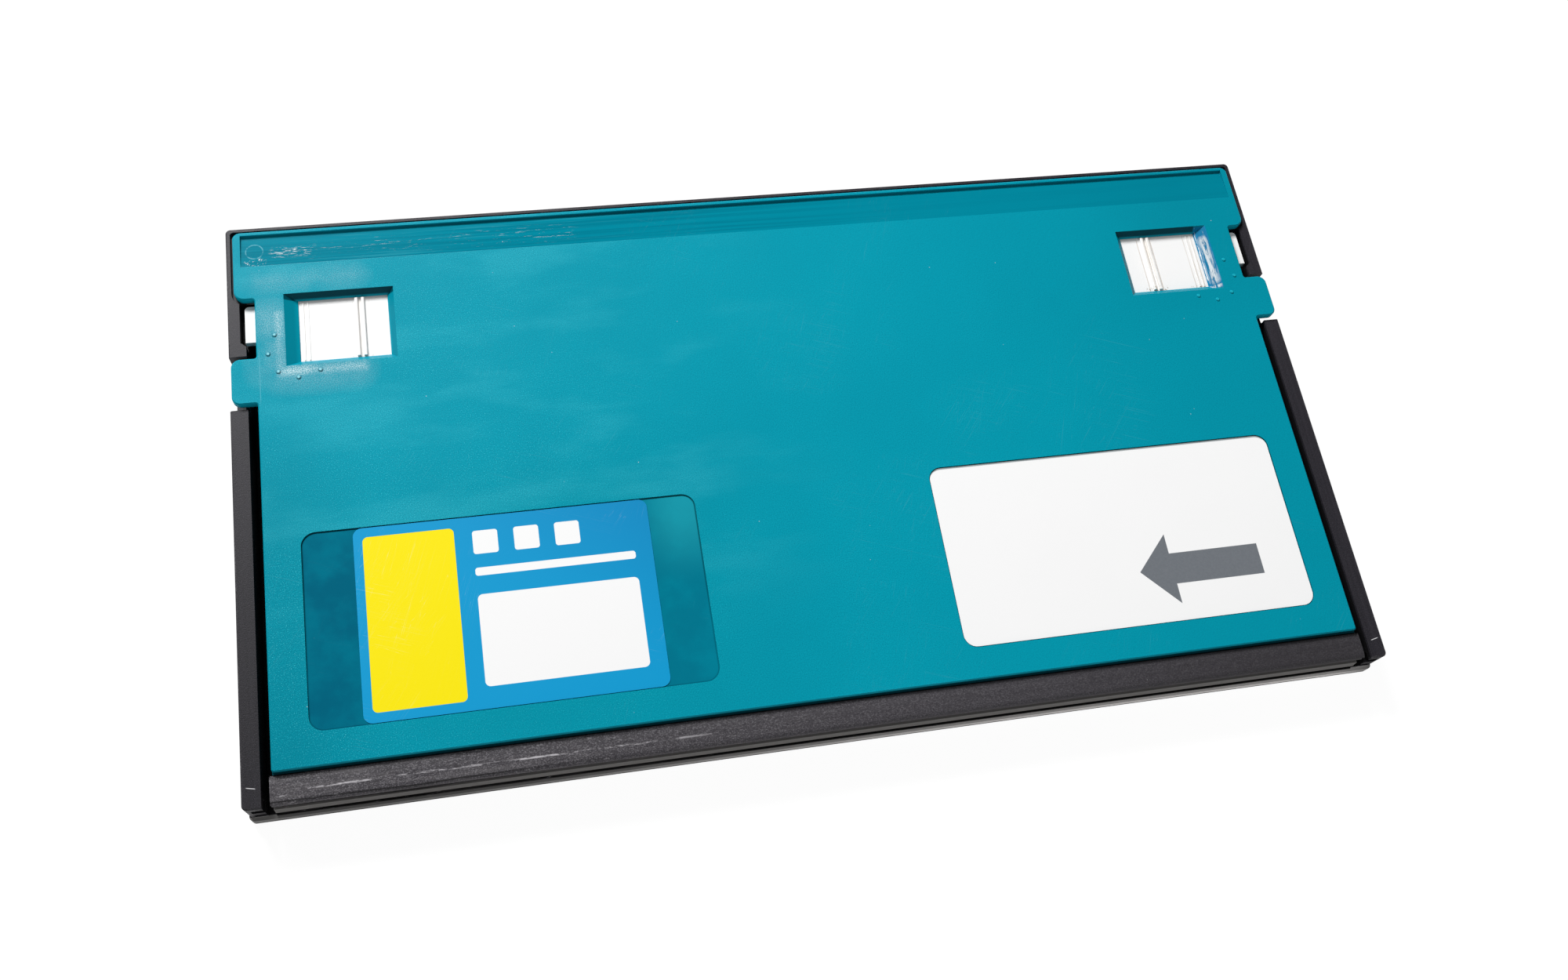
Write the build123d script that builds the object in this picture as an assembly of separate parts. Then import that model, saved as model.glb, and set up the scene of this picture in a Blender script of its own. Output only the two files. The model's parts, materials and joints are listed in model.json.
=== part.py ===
from build123d import *
import math
import os

# Hinged film cassette for panoramic pictures, in millimetres.
# X runs along the long side, Y from the hinge towards the latches, Z up from the surface it lies on.
# The tube side, the front, faces down. The rear cover faces up and opens on a hinge along -Y.

# ---- sides of each small round thing, such as a screw or a boss
round_sides = 10

# ---- film and screens
film_length = 300.0
film_width = 150.0
film_gap = 0.2
screen_thickness = 0.8
screen_corner_r = 1.5

# ---- base frame; the room runs from the film's edges to the frame's outside
film_end_room = 14.0
film_side_room = 13.5
sill_lip = 1.0
rail_top = 13.5
rail_width = 5.0
far_rail_width = 7.7
frame_corner_r = 1.4
rail_edge_break = 0.4
floor_top = 3.1
screen_margin = 2.0
core_width = 3.3
core_floor = 1.0
core_count = 9
core_end_gap = 8.0
core_rib = 4.0

# ---- front panel, in a rebate under the frame's floor
panel_thickness = 1.6
panel_recess = 0.3
panel_overlap = 5.0
panel_near_overlap = 3.5
panel_corner_r = 2.0
panel_clearance = 0.2

# ---- rear cover
cover_rise = 1.5
cover_thickness = 2.2
cover_side_gap = 3.0
cover_edge_break = 0.35
skirt_thickness = 2.0
skirt_floor_gap = 1.9
skirt_far_gap = 0.6
near_lip = 0.4
near_lip_height = 0.4
ear_reach = 5.8
ear_width = 23.2
ear_far_gap = 1.2
ear_ledge_gap = 0.2
ear_corner_r = 3.0
ear_far_corner_r = 2.2
ear_clearance = 0.9
far_wall = 1.2
tab_reach = 7.2
tab_ear_gap = 19.7
tab_length = 14.6
tab_corner_r = 2.5
inner_corner_r = 0.8
tab_gap_clearance = 1.1
tab_gap_far_clearance = 1.7
tab_gap_inner_wall = 1.4
tab_gap_wall_drop = 4.5
tab_gap_corner_r = 2.0
rib_thickness = 1.2
cross_rib_count = 7
cross_rib_stop_gap = 6.0
short_rib_slider_reach = 8.0
short_rib_slider_gap = 9.0
long_rib_near_gap = 29.1
long_rib_slider_gap = 18.0
far_long_rib_gap = 8.2
far_long_rib_overrun = 1.4
bump_r = 0.75
bump_crown_r = 0.45
bump_height = 0.3
bump_offsets = ((2.9, 10.5), (4.9, 4.3), (2.2, -1.7), (-3.4, -4.0), (-9.6, -2.1))

# ---- recesses in the cover
strip_end_rim = 2.2
strip_width = 10.8
strip_rim = 1.2
strip_depth_far = 0.8
strip_depth_near = 0.12
label_recess_inner_x = 35.5
label_recess_end_gap = 10.0
label_recess_far_y = -12.9
label_recess_near_gap = 9.3
label_recess_r = 4.0
label_recess_depth = 0.35
label_thickness = 0.15
label_margin = 0.25
info_label_offset = 14.0
info_label_r = 2.5
label_cut_over = 1.0

# ---- latch window, with four sloping walls
window_end_gap = 8.2
window_length = 31.8
window_ear_reach = 1.0
window_width = 24.1
window_slope_inner = 2.0
window_slope_outer = 3.9
window_slope_near = 2.1
window_slope_far = 1.7

# ---- latch slider
latch_travel = 6.0
slide_clearance = 0.2
slider_thickness = 2.2
slider_inner_margin = 4.0
slider_outer_margin = 2.2
slider_near_margin = 1.8
slider_far_margin = 1.1
stub_reach = 3.3
stub_ear_gap = 1.1
stub_width = 12.0
stub_top_step = 0.2
stub_corner_r = 1.2
finger_reach = 5.8
finger_ear_gap = 1.4
finger_width = 9.7
finger_thickness = 1.7
finger_drop = 1.1
arm_length = 10.0
arm_block_length = 2.0
ridge_height = 0.8
ridge_width = 1.0
ridge_end_gap = 0.4
ridge_offsets = (9.3, 11.2)
fine_ridge_offsets = (25.2, 26.6)
fine_ridge_height = 0.15
fine_ridge_width = 0.5
ridge_rounding = 0.4
guide_rib_thickness = 1.4
far_guide_arm_gap = 1.0
far_guide_lead = 8.0
near_guide_lead = 12.0

# ---- latch pocket and strike in the frame
pocket_depth = 1.6
pocket_clearance = 0.4
pocket_far_clearance = 0.5
pocket_floor_clearance = 0.6
pocket_chamfer = 1.4
strike_clearance = 0.3
strike_side_clearance = 0.6

# ---- latch spring
spring_r = 1.1
spring_wire_r = 0.17
spring_turns = 6
spring_turn_sides = 8
spring_wire_sides = 4
spring_end_gap = 0.3
spring_slot_half_width = 1.35
spring_slot_depth = 6.0
spring_room = 16.0
spring_stop_thickness = 1.5
spring_stop_half_width = 5.0
spigot_r = 0.7
spigot_length = 3.0

# ---- latch guide plate under each slider
guide_thickness = 1.2
guide_lead = 14.0
guide_outer_inset = 1.0
guide_near_margin = 7.0
guide_far_inset = 1.5
guide_corner_r = 2.0
guide_boss_r = 2.2
guide_screw_inset = 3.5
guide_screw_end_inset = 3.0

# ---- inner plate, under the cover's ribs
inner_plate_thickness = 1.0
inner_plate_clearance = 0.4
plate_screw_inset = 4.1
plate_screw_near_gap = 24.1
plate_screw_slider_gap = 16.0
plate_screw_far_gap = 4.4
plate_screw_end_gap = 36.0
plate_screw_far_count = 4
plate_boss_r = 2.0
foam_margin = 0.5

# ---- light seals on the frame's floor
seal_gap = 0.3
seal_width = 4.0
seal_end_gap = 0.3

# ---- hinge: a bead on the base leaf turns in a socket on the cover leaf
hinge_end_gap = 7.2
hinge_inset = 2.9
bead_r = 1.4
hinge_clearance = 0.06
socket_wall = 1.1
socket_lip_angle = 125.0
socket_foot_angle = -60.0
neck_width = 0.9
cover_leaf_plate = 1.3
cover_leaf_crown = 0.12
cover_leaf_far_gap = 0.5
cover_leaf_wall = 1.4
cover_leaf_foot_gap = 0.4
base_leaf_clearance = 0.18
base_leaf_body = 3.9
base_leaf_foot = 1.4
base_leaf_reach = 7.6
base_leaf_wall_gap = 0.4
band_top_inset = 1.36
band_bottom_inset = 1.0
groove_inset = 1.6
groove_height = 1.3
lower_band_inset = 0.7
lower_band_height = 0.9
end_slot_depth = 3.0
end_slot_reach = 3.2
end_slots = ((4.3, 5.9), (8.3, 11.0))

# ---- screws
screw_r = 0.8
screw_head_r = 1.6
screw_head_height = 0.8
screw_clearance = 0.05
base_leaf_screw_depth = 3.0
base_leaf_screw_setback = 1.7
plate_screw_length = 4.2
guide_screw_length = 3.4
leaf_screw_length = 4.4
leaf_screw_head = 1.0
leaf_screw_head_r = 1.2
leaf_boss_r = 1.6
leaf_boss_length = 4.0
leaf_screw_count = 5
leaf_screw_end_gap = 24.8

# ---- levels and places worked out from the sizes above
half_length = film_length / 2 + film_end_room
half_depth = film_width / 2 + film_side_room
far_y = half_depth
sill_y = -half_depth
rail_near_y = sill_y + sill_lip
rail_inner_x = half_length - rail_width
far_rail_y = far_y - far_rail_width
core_pitch = (2 * (rail_inner_x - core_end_gap) + core_rib) / core_count
tab_gap_wall_top = rail_top - tab_gap_wall_drop
panel_bottom = panel_recess
panel_top = panel_bottom + panel_thickness
screen_half_x = film_length / 2
screen_half_y = film_width / 2
window_half_x = screen_half_x + screen_margin
window_half_y = screen_half_y + screen_margin
panel_half_x = window_half_x + panel_overlap
panel_half_y = window_half_y + panel_near_overlap
front_screen_top = panel_top + screen_thickness
rear_screen_bottom = front_screen_top + film_gap
rear_screen_top = rear_screen_bottom + screen_thickness

cover_top = rail_top + cover_rise
cover_under = cover_top - cover_thickness
cover_half_x = rail_inner_x - cover_side_gap
skirt_bottom = floor_top + skirt_floor_gap
skirt_far_y = far_rail_y - skirt_far_gap
seal_top = skirt_bottom - seal_gap
slider_top = cover_under - slide_clearance
slider_bottom = slider_top - slider_thickness
guide_top = slider_bottom - slide_clearance
guide_bottom = guide_top - guide_thickness
inner_plate_top = guide_bottom
inner_plate_bottom = inner_plate_top - inner_plate_thickness

hinge_length = 2 * (half_length - hinge_end_gap)
hinge_y = sill_y + hinge_inset
socket_r = bead_r + hinge_clearance
leaf_r = socket_r + socket_wall
hinge_z = rail_top - leaf_r
base_leaf_top = hinge_z - leaf_r - base_leaf_clearance
base_leaf_foot_end = sill_y + base_leaf_reach
leaf_wall_near_y = base_leaf_foot_end + base_leaf_wall_gap
leaf_wall_bottom = skirt_bottom + cover_leaf_foot_gap
leaf_screw_z = hinge_z
leaf_screw_reach = hinge_length / 2 - leaf_screw_end_gap
leaf_screw_pitch = 2 * leaf_screw_reach / (leaf_screw_count - 1)
leaf_screw_places = [number * leaf_screw_pitch - leaf_screw_reach for number in range(leaf_screw_count)]
skirt_near_y = leaf_wall_near_y + cover_leaf_wall
cover_near_y = skirt_near_y + near_lip

ear_half_x = cover_half_x + ear_reach
ear_far_y = far_y - far_wall - ear_far_gap
ear_near_y = ear_far_y - ear_width
ear_ledge = cover_under - ear_ledge_gap
tab_half_x = cover_half_x + tab_reach
tab_far_y = ear_near_y - tab_ear_gap
tab_near_y = tab_far_y - tab_length
strip_half_length = ear_half_x - strip_end_rim
strip_far_y = ear_far_y - strip_rim
strip_near_y = strip_far_y - strip_width
label_recess_length = cover_half_x - label_recess_end_gap - label_recess_inner_x
label_recess_height = label_recess_far_y - cover_near_y - label_recess_near_gap
label_x = label_recess_inner_x + label_recess_length / 2
label_y = label_recess_far_y - label_recess_height / 2
window_outer_x = cover_half_x - window_end_gap
window_inner_x = window_outer_x - window_length
window_far_y = ear_near_y + window_ear_reach
window_near_y = window_far_y - window_width

slider_inner_x = window_inner_x - slider_inner_margin
slider_outer_x = window_outer_x + slider_outer_margin
slider_near_y = window_near_y - slider_near_margin
slider_far_y = window_far_y + slider_far_margin
stub_end_x = cover_half_x + stub_reach
stub_near_y = ear_near_y - stub_ear_gap - stub_width
finger_end_x = cover_half_x + finger_reach
finger_near_y = ear_near_y + finger_ear_gap
finger_far_y = finger_near_y + finger_width
finger_bottom = slider_bottom - finger_drop
finger_top = finger_bottom + finger_thickness
arm_inner_x = slider_outer_x - arm_length
pocket_floor = slider_bottom - pocket_floor_clearance
far_guide_start_x = slider_inner_x - far_guide_lead
far_guide_end_x = arm_inner_x - latch_travel - far_guide_arm_gap
near_guide_start_x = slider_inner_x - near_guide_lead
spring_stop_x = slider_inner_x - spring_room
spring_z = (slider_top + slider_bottom) / 2
spring_y = (slider_near_y + slider_far_y) / 2
guide_inner_x = slider_inner_x - guide_lead
guide_outer_x = slider_outer_x - guide_outer_inset
guide_near_y = slider_near_y - guide_near_margin
guide_far_y = slider_far_y - guide_far_inset
guide_screw_places = (
    (guide_inner_x + guide_screw_inset, guide_near_y + guide_screw_inset),
    (guide_inner_x + guide_screw_inset, guide_far_y - guide_screw_inset),
    (guide_outer_x - guide_screw_end_inset, guide_near_y + guide_screw_end_inset),
)
cross_rib_end = spring_stop_x - cross_rib_stop_gap
cross_rib_pitch = 2 * cross_rib_end / (cross_rib_count - 1)
short_rib_x = slider_inner_x + short_rib_slider_reach
short_rib_end = slider_near_y - short_rib_slider_gap
long_rib_near_y = skirt_near_y + long_rib_near_gap
long_rib_far_y = slider_near_y - long_rib_slider_gap
sides = (-1, 1)


def block(x_low, x_high, y_low, y_high, z_low, z_high):
    """A box between two corners."""
    size = Box(x_high - x_low, y_high - y_low, z_high - z_low)
    return Pos((x_low + x_high) / 2, (y_low + y_high) / 2, (z_low + z_high) / 2) * size


def rounded_slab(half_x, y_low, y_high, z_low, z_high, radius):
    """A flat slab with rounded corners, centred on X."""
    outline = Pos(0, (y_low + y_high) / 2) * RectangleRounded(2 * half_x, y_high - y_low, radius)
    return Pos(0, 0, z_low) * extrude(outline, z_high - z_low)


def both_sides(solid):
    """The solid, made for the right side, and its mirror image on the left."""
    return solid + mirror(solid, about=Plane.YZ)


def along_x(section, length):
    """A section drawn in (Y, Z) and run along X, centred."""
    return Pos(-length / 2, 0, 0) * extrude(Plane.YZ * section, length)


def rounded_outline(points, radii):
    """A closed outline whose corners are rounded where the radii say so."""
    face = make_face(Polyline(*points, close=True))
    for (x, y), radius in zip(points, radii):
        if radius:
            corner = face.vertices().sort_by_distance(Vector(x, y, 0))[0]
            face = fillet(corner, radius)
    return face


def post(radius, bottom, top):
    """A small round post along Z."""
    return Pos(0, 0, bottom) * extrude(RegularPolygon(radius, round_sides), top - bottom)


def tapered_post(bottom_radius, top_radius, bottom, top):
    """A small round post along Z whose radius changes evenly."""
    foot = Pos(0, 0, bottom) * RegularPolygon(bottom_radius, round_sides)
    head = Pos(0, 0, top) * RegularPolygon(top_radius, round_sides)
    return loft([foot, head], ruled=True)


def countersunk_screw(length, clearance=0.0):
    """A screw along -Z with its flat head's top at the origin, or with a clearance, its hole."""
    shaft_r, head_r = screw_r + clearance, screw_head_r + clearance
    head = tapered_post(shaft_r, head_r, -screw_head_height, 0)
    return head + post(shaft_r, -length, -screw_head_height)


def screw_hole(length):
    """The room for a countersunk screw."""
    return countersunk_screw(length + screw_clearance, screw_clearance)


# ---- base body


def make_base_frame():
    lower = rounded_slab(half_length, sill_y, far_y, 0, floor_top, frame_corner_r)
    upper = rounded_slab(half_length, rail_near_y, far_y, floor_top, rail_top, frame_corner_r)
    upper = chamfer(upper.faces().sort_by(Axis.Z)[-1].edges(), rail_edge_break)
    frame = lower + upper
    over = rail_top + 1
    beyond = half_length + 1

    # the well that the cover's tray drops into, open towards the hinge
    frame -= block(-rail_inner_x, rail_inner_x, sill_y - 1, far_rail_y, floor_top, over)

    # the rebate under the cover's far strip and ears
    ledge_x = ear_half_x + ear_clearance
    ledge_near_y = ear_near_y - ear_clearance
    ledge = rounded_outline(
        [
            (-ledge_x, ledge_near_y),
            (ledge_x, ledge_near_y),
            (ledge_x, far_y - far_wall),
            (-ledge_x, far_y - far_wall),
        ],
        (ear_corner_r + ear_clearance, ear_corner_r + ear_clearance, 1, 1),
    )
    frame -= Pos(0, 0, ear_ledge) * extrude(ledge, over - ear_ledge)

    # the pocket beside each bolt, with a chamfered near end
    pocket_x = rail_inner_x + pocket_depth
    pocket_near = stub_near_y - pocket_clearance
    pocket = make_face(
        Polyline(
            (rail_inner_x - 1, pocket_near - pocket_chamfer),
            (rail_inner_x, pocket_near - pocket_chamfer),
            (pocket_x, pocket_near),
            (pocket_x, ear_near_y),
            (rail_inner_x - 1, ear_near_y),
            close=True,
        )
    )
    frame -= both_sides(Pos(0, 0, pocket_floor) * extrude(pocket, over - pocket_floor))

    # the slot under the ear that each latch finger slides into; the bar above it is the strike
    frame -= both_sides(
        block(
            rail_inner_x - 1,
            finger_end_x + ear_clearance,
            finger_near_y - strike_side_clearance,
            finger_far_y + strike_side_clearance,
            finger_bottom - strike_clearance,
            finger_top + strike_clearance,
        )
    )

    # the finger gap under each tab, open to the outside, with a low wall left inside
    gap_x = rail_inner_x + tab_gap_inner_wall
    gap_near = tab_near_y - tab_gap_clearance
    gap_far = tab_far_y + tab_gap_far_clearance
    gap = rounded_outline(
        [(gap_x, gap_near), (beyond, gap_near), (beyond, gap_far), (gap_x, gap_far)],
        (tab_gap_corner_r, 0, 0, 0),
    )
    frame -= both_sides(Pos(0, 0, floor_top) * extrude(gap, tab_gap_wall_top - floor_top))
    frame -= both_sides(block(rail_inner_x - 1, beyond, gap_near, gap_far, tab_gap_wall_top, over))

    # cores between ribs in the far rail
    core_y = (far_rail_y + far_y - far_wall) / 2
    for number in range(core_count):
        core_x = (number - (core_count - 1) / 2) * core_pitch
        half_core = (core_pitch - core_rib) / 2
        frame -= block(
            core_x - half_core,
            core_x + half_core,
            core_y - core_width / 2,
            core_y + core_width / 2,
            floor_top + core_floor,
            over,
        )

    # slots in the near ends of both rails
    for slot_low, slot_high in end_slots:
        frame -= both_sides(
            block(
                rail_inner_x - 1,
                rail_inner_x + end_slot_reach,
                sill_y,
                rail_near_y + end_slot_depth,
                slot_low,
                slot_high,
            )
        )

    # the rebate for the front panel and the window that the screen sits in
    frame -= rounded_slab(panel_half_x, -panel_half_y, panel_half_y, 0, panel_top, panel_corner_r)
    frame -= rounded_slab(window_half_x, -window_half_y, window_half_y, 0, over, screen_corner_r)

    for x in leaf_screw_places:
        place = Pos(x, base_leaf_screw_y(), floor_top)
        depth = base_leaf_screw_depth - base_leaf_foot + screw_clearance
        frame -= place * post(screw_r + screw_clearance, -depth, 0)
    return frame


def make_front_panel():
    half_x = panel_half_x - panel_clearance
    half_y = panel_half_y - panel_clearance
    return rounded_slab(half_x, -half_y, half_y, panel_bottom, panel_top, panel_corner_r)


def make_screen(bottom):
    top = bottom + screen_thickness
    return rounded_slab(screen_half_x, -screen_half_y, screen_half_y, bottom, top, screen_corner_r)


def make_far_seal():
    middle = skirt_far_y - skirt_thickness / 2
    half = cover_half_x + seal_width / 4
    low = window_half_y
    high = min(middle + seal_width / 2, far_rail_y)
    return block(-half, half, low, high, floor_top, seal_top)


def make_near_seal():
    half = cover_half_x + seal_width / 4
    low = base_leaf_foot_end + seal_end_gap
    return block(-half, half, low, -window_half_y, floor_top, seal_top)


def make_side_seal(side):
    middle = cover_half_x - skirt_thickness / 2
    low = middle - seal_width / 2
    half_y = window_half_y - seal_end_gap
    seal = block(low, low + seal_width, -half_y, half_y, floor_top, seal_top)
    return seal if side > 0 else mirror(seal, about=Plane.YZ)


def base_leaf_screw_y():
    return base_leaf_foot_end - base_leaf_screw_setback


def make_hinge_base_leaf():
    """The fixed leaf: a bead on a neck, over the ribbed face that shows below the spine."""
    body_inner = sill_y + base_leaf_body
    groove_bottom = floor_top + lower_band_height
    band_bottom = groove_bottom + groove_height
    face = make_face(
        Polyline(
            (sill_y + band_top_inset, base_leaf_top),
            (sill_y + band_bottom_inset, band_bottom),
            (sill_y + groove_inset, band_bottom),
            (sill_y + groove_inset, groove_bottom),
            (sill_y + lower_band_inset, groove_bottom),
            (sill_y + lower_band_inset, floor_top),
            (base_leaf_foot_end, floor_top),
            (base_leaf_foot_end, floor_top + base_leaf_foot),
            (body_inner, floor_top + base_leaf_foot),
            (body_inner, base_leaf_top),
            close=True,
        )
    )
    neck_height = hinge_z - base_leaf_top
    neck = Pos(hinge_y, base_leaf_top + neck_height / 2) * Rectangle(neck_width, neck_height)
    bead = Pos(hinge_y, hinge_z) * Circle(bead_r)
    leaf = along_x(face + neck + bead, hinge_length)
    for x in leaf_screw_places:
        place = Pos(x, base_leaf_screw_y(), floor_top + base_leaf_foot)
        leaf -= place * screw_hole(base_leaf_screw_depth)
    return leaf


def make_base_leaf_screws():
    top = floor_top + base_leaf_foot
    screw = countersunk_screw(base_leaf_screw_depth)
    return Compound([Pos(x, base_leaf_screw_y(), top) * screw for x in leaf_screw_places])


# ---- cover body


def cover_outline():
    """The plan of the teal cover: body, finger tabs and ears, with the notches between them."""
    right = [
        (cover_half_x, cover_near_y, inner_corner_r),
        (cover_half_x, tab_near_y, inner_corner_r),
        (tab_half_x, tab_near_y, tab_corner_r),
        (tab_half_x, tab_far_y, tab_corner_r),
        (cover_half_x, tab_far_y, inner_corner_r),
        (cover_half_x, ear_near_y, inner_corner_r),
        (ear_half_x, ear_near_y, ear_corner_r),
        (ear_half_x, ear_far_y, ear_far_corner_r),
    ]
    left = [(-x, y, radius) for x, y, radius in reversed(right)]
    corners = right + left
    return rounded_outline([(x, y) for x, y, _ in corners], [radius for _, _, radius in corners])


def latch_window():
    """The tapered room of the right latch window: wide at the cover's top, narrow at its foot."""
    x_low, x_high = window_inner_x, window_outer_x
    y_low, y_high = window_near_y, window_far_y
    mouth = Plane.XY.offset(cover_top) * make_face(
        Polyline((x_low, y_low), (x_high, y_low), (x_high, y_high), (x_low, y_high), close=True)
    )
    foot = Plane.XY.offset(cover_under) * make_face(
        Polyline(
            (x_low + window_slope_inner, y_low + window_slope_near),
            (x_high - window_slope_outer, y_low + window_slope_near),
            (x_high - window_slope_outer, y_high - window_slope_far),
            (x_low + window_slope_inner, y_high - window_slope_far),
            close=True,
        )
    )
    return loft([foot, mouth])


def cover_ribs():
    """Ribs and guides on the cover's underside, down to the inner plate."""
    low = inner_plate_top + slide_clearance
    near = skirt_near_y + skirt_thickness
    far = skirt_far_y - skirt_thickness
    half = cover_half_x - skirt_thickness
    half_rib = rib_thickness / 2
    ribs = []
    for number in range(cross_rib_count):
        x = number * cross_rib_pitch - cross_rib_end
        ribs.append(block(x - half_rib, x + half_rib, near, far, low, cover_under))
    for x in (-short_rib_x, short_rib_x):
        ribs.append(block(x - half_rib, x + half_rib, near, short_rib_end, low, cover_under))
    for y in (long_rib_near_y, (long_rib_near_y + long_rib_far_y) / 2, long_rib_far_y):
        ribs.append(block(-half, half, y - half_rib, y + half_rib, low, cover_under))
    y = skirt_far_y - far_long_rib_gap
    half = cross_rib_end + far_long_rib_overrun
    ribs.append(block(-half, half, y - half_rib, y + half_rib, low, cover_under))
    return ribs


def latch_guides():
    """Two slide guides, the spring's stop with its spigot, and the guide plate's bosses, right side."""
    near_high = slider_near_y - slide_clearance
    near_low = near_high - guide_rib_thickness
    far_low = slider_far_y + slide_clearance
    stop_inner = spring_stop_x - spring_stop_thickness
    parts = [
        block(near_guide_start_x, guide_outer_x, near_low, near_high, guide_top, cover_under),
        block(
            far_guide_start_x,
            far_guide_end_x,
            far_low,
            far_low + guide_rib_thickness,
            guide_top,
            cover_under,
        ),
        block(
            stop_inner,
            spring_stop_x,
            spring_y - spring_stop_half_width,
            spring_y + spring_stop_half_width,
            guide_top,
            cover_under,
        ),
        Pos(spring_stop_x, spring_y, spring_z) * Rot(0, 90, 0) * post(spigot_r, 0, spigot_length),
    ]
    for x, y in guide_screw_places:
        parts.append(Pos(x, y) * post(guide_boss_r, guide_top, cover_under))
    return parts


def plate_screw_spots():
    """Where the inner plate is screwed to the cover."""
    side_x = cover_half_x - plate_screw_inset
    side_y = (skirt_near_y + plate_screw_near_gap, slider_near_y - plate_screw_slider_gap)
    spots = [(side * side_x, y) for side in sides for y in side_y]
    reach = cover_half_x - plate_screw_end_gap
    pitch = 2 * reach / (plate_screw_far_count - 1)
    far = skirt_far_y - plate_screw_far_gap
    return spots + [(number * pitch - reach, far) for number in range(plate_screw_far_count)]


def strip_recess():
    """The long recess along the far edge, deepest at its far wall."""
    over = cover_top + label_cut_over
    section = make_face(
        Polyline(
            (strip_near_y, cover_top - strip_depth_near),
            (strip_far_y, cover_top - strip_depth_far),
            (strip_far_y, over),
            (strip_near_y, over),
            close=True,
        )
    )
    return along_x(section, 2 * strip_half_length)


def make_rear_cover():
    shell = Pos(0, 0, cover_under) * extrude(cover_outline(), cover_thickness)
    shell = chamfer(shell.faces().sort_by(Axis.Z)[-1].edges(), cover_edge_break)

    # the tray that drops into the frame
    wall = skirt_thickness
    tray = block(
        -cover_half_x, cover_half_x, skirt_near_y, skirt_far_y, skirt_bottom, cover_under
    ) - block(
        -cover_half_x + wall,
        cover_half_x - wall,
        skirt_near_y + wall,
        skirt_far_y - wall,
        skirt_bottom,
        cover_under,
    )
    lip = block(
        -cover_half_x,
        cover_half_x,
        skirt_near_y,
        cover_near_y + wall,
        cover_under,
        cover_under + near_lip_height,
    )
    shell = shell + tray + lip
    shell += cover_ribs()
    for part in latch_guides():
        shell += both_sides(part)

    for x, y in plate_screw_spots():
        shell += Pos(x, y) * post(plate_boss_r, inner_plate_top, cover_under)
    for x in leaf_screw_places:
        place = Pos(x, skirt_near_y + wall, leaf_screw_z) * Rot(-90, 0, 0)
        shell += place * post(leaf_boss_r, 0, leaf_boss_length)

    # room for the latches
    shell -= both_sides(latch_window())
    shell -= both_sides(
        block(
            cover_half_x - wall - 1,
            cover_half_x + 1,
            stub_near_y - slide_clearance,
            stub_near_y + stub_width + slide_clearance,
            slider_bottom - slide_clearance,
            cover_under,
        )
    )
    shell -= both_sides(
        block(
            cover_half_x - wall - 1,
            cover_half_x + 1,
            finger_near_y - strike_clearance,
            finger_far_y + strike_clearance,
            finger_bottom - strike_clearance,
            finger_top + strike_clearance,
        )
    )

    # recesses in the top
    shell -= strip_recess()
    recess = RectangleRounded(label_recess_length, label_recess_height, label_recess_r)
    recess = Pos(label_x, label_y, cover_top - label_recess_depth) * extrude(recess, label_cut_over)
    shell -= both_sides(recess)

    # screw holes
    for x, y in plate_screw_spots():
        shell -= Pos(x, y, inner_plate_bottom) * Rot(180, 0, 0) * screw_hole(plate_screw_length)
    for x, y in guide_screw_places:
        hole = Pos(x, y, guide_bottom) * Rot(180, 0, 0) * screw_hole(guide_screw_length)
        shell -= both_sides(hole)
    for x in leaf_screw_places:
        place = Pos(x, leaf_wall_near_y, leaf_screw_z) * Rot(-90, 0, 0)
        shell -= place * post(screw_r + screw_clearance, 0, leaf_screw_length)

    # small bumps beside each window
    for x, y in bump_offsets:
        bump = tapered_post(bump_r, bump_crown_r, cover_top, cover_top + bump_height)
        shell += both_sides(Pos(window_outer_x + x, window_near_y + y) * bump)
    return shell


def make_hinge_cover_leaf():
    """The moving leaf: a socket round the bead, the spine's crowned top and a wall on the cover."""
    socket = Circle(leaf_r) - Circle(socket_r)
    reach = 2 * leaf_r
    opening = [(0, 0)]
    steps = 6
    for number in range(steps + 1):
        share = number / steps
        angle = socket_lip_angle + share * (360 + socket_foot_angle - socket_lip_angle)
        opening.append((reach * math.cos(math.radians(angle)), reach * math.sin(math.radians(angle))))
    socket -= make_face(Polyline(*opening, close=True))
    socket = Pos(hinge_y, hinge_z) * socket

    wall_near = leaf_wall_near_y
    top_far = cover_near_y - near_lip - cover_leaf_far_gap
    crown_y = (hinge_y + top_far) / 2
    plate_under = rail_top - cover_leaf_plate
    crown = ThreePointArc(
        (hinge_y, rail_top), (crown_y, rail_top + cover_leaf_crown), (top_far, rail_top)
    )
    sides_of_plate = Polyline(
        (top_far, rail_top),
        (top_far, plate_under),
        (skirt_near_y, plate_under),
        (skirt_near_y, leaf_wall_bottom),
        (wall_near, leaf_wall_bottom),
        (wall_near, plate_under),
        (hinge_y, plate_under),
        (hinge_y, rail_top),
    )
    plate = make_face(crown + sides_of_plate)
    bore = Pos(hinge_y, hinge_z) * Circle(socket_r)
    leaf = along_x((plate - bore) + socket, hinge_length)
    for x in leaf_screw_places:
        place = Pos(x, wall_near, leaf_screw_z) * Rot(-90, 0, 0)
        leaf -= place * post(screw_r + screw_clearance, -screw_clearance, cover_leaf_wall + 1)
    return leaf


def make_cover_leaf_screws():
    """Pan-head screws that hold the moving leaf to the cover's near wall."""
    head = post(leaf_screw_head_r, -leaf_screw_head, 0)
    shaft = post(screw_r, 0, leaf_screw_length - screw_clearance)
    screw = Rot(-90, 0, 0) * (head + shaft)
    return Compound([Pos(x, leaf_wall_near_y, leaf_screw_z) * screw for x in leaf_screw_places])


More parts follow.
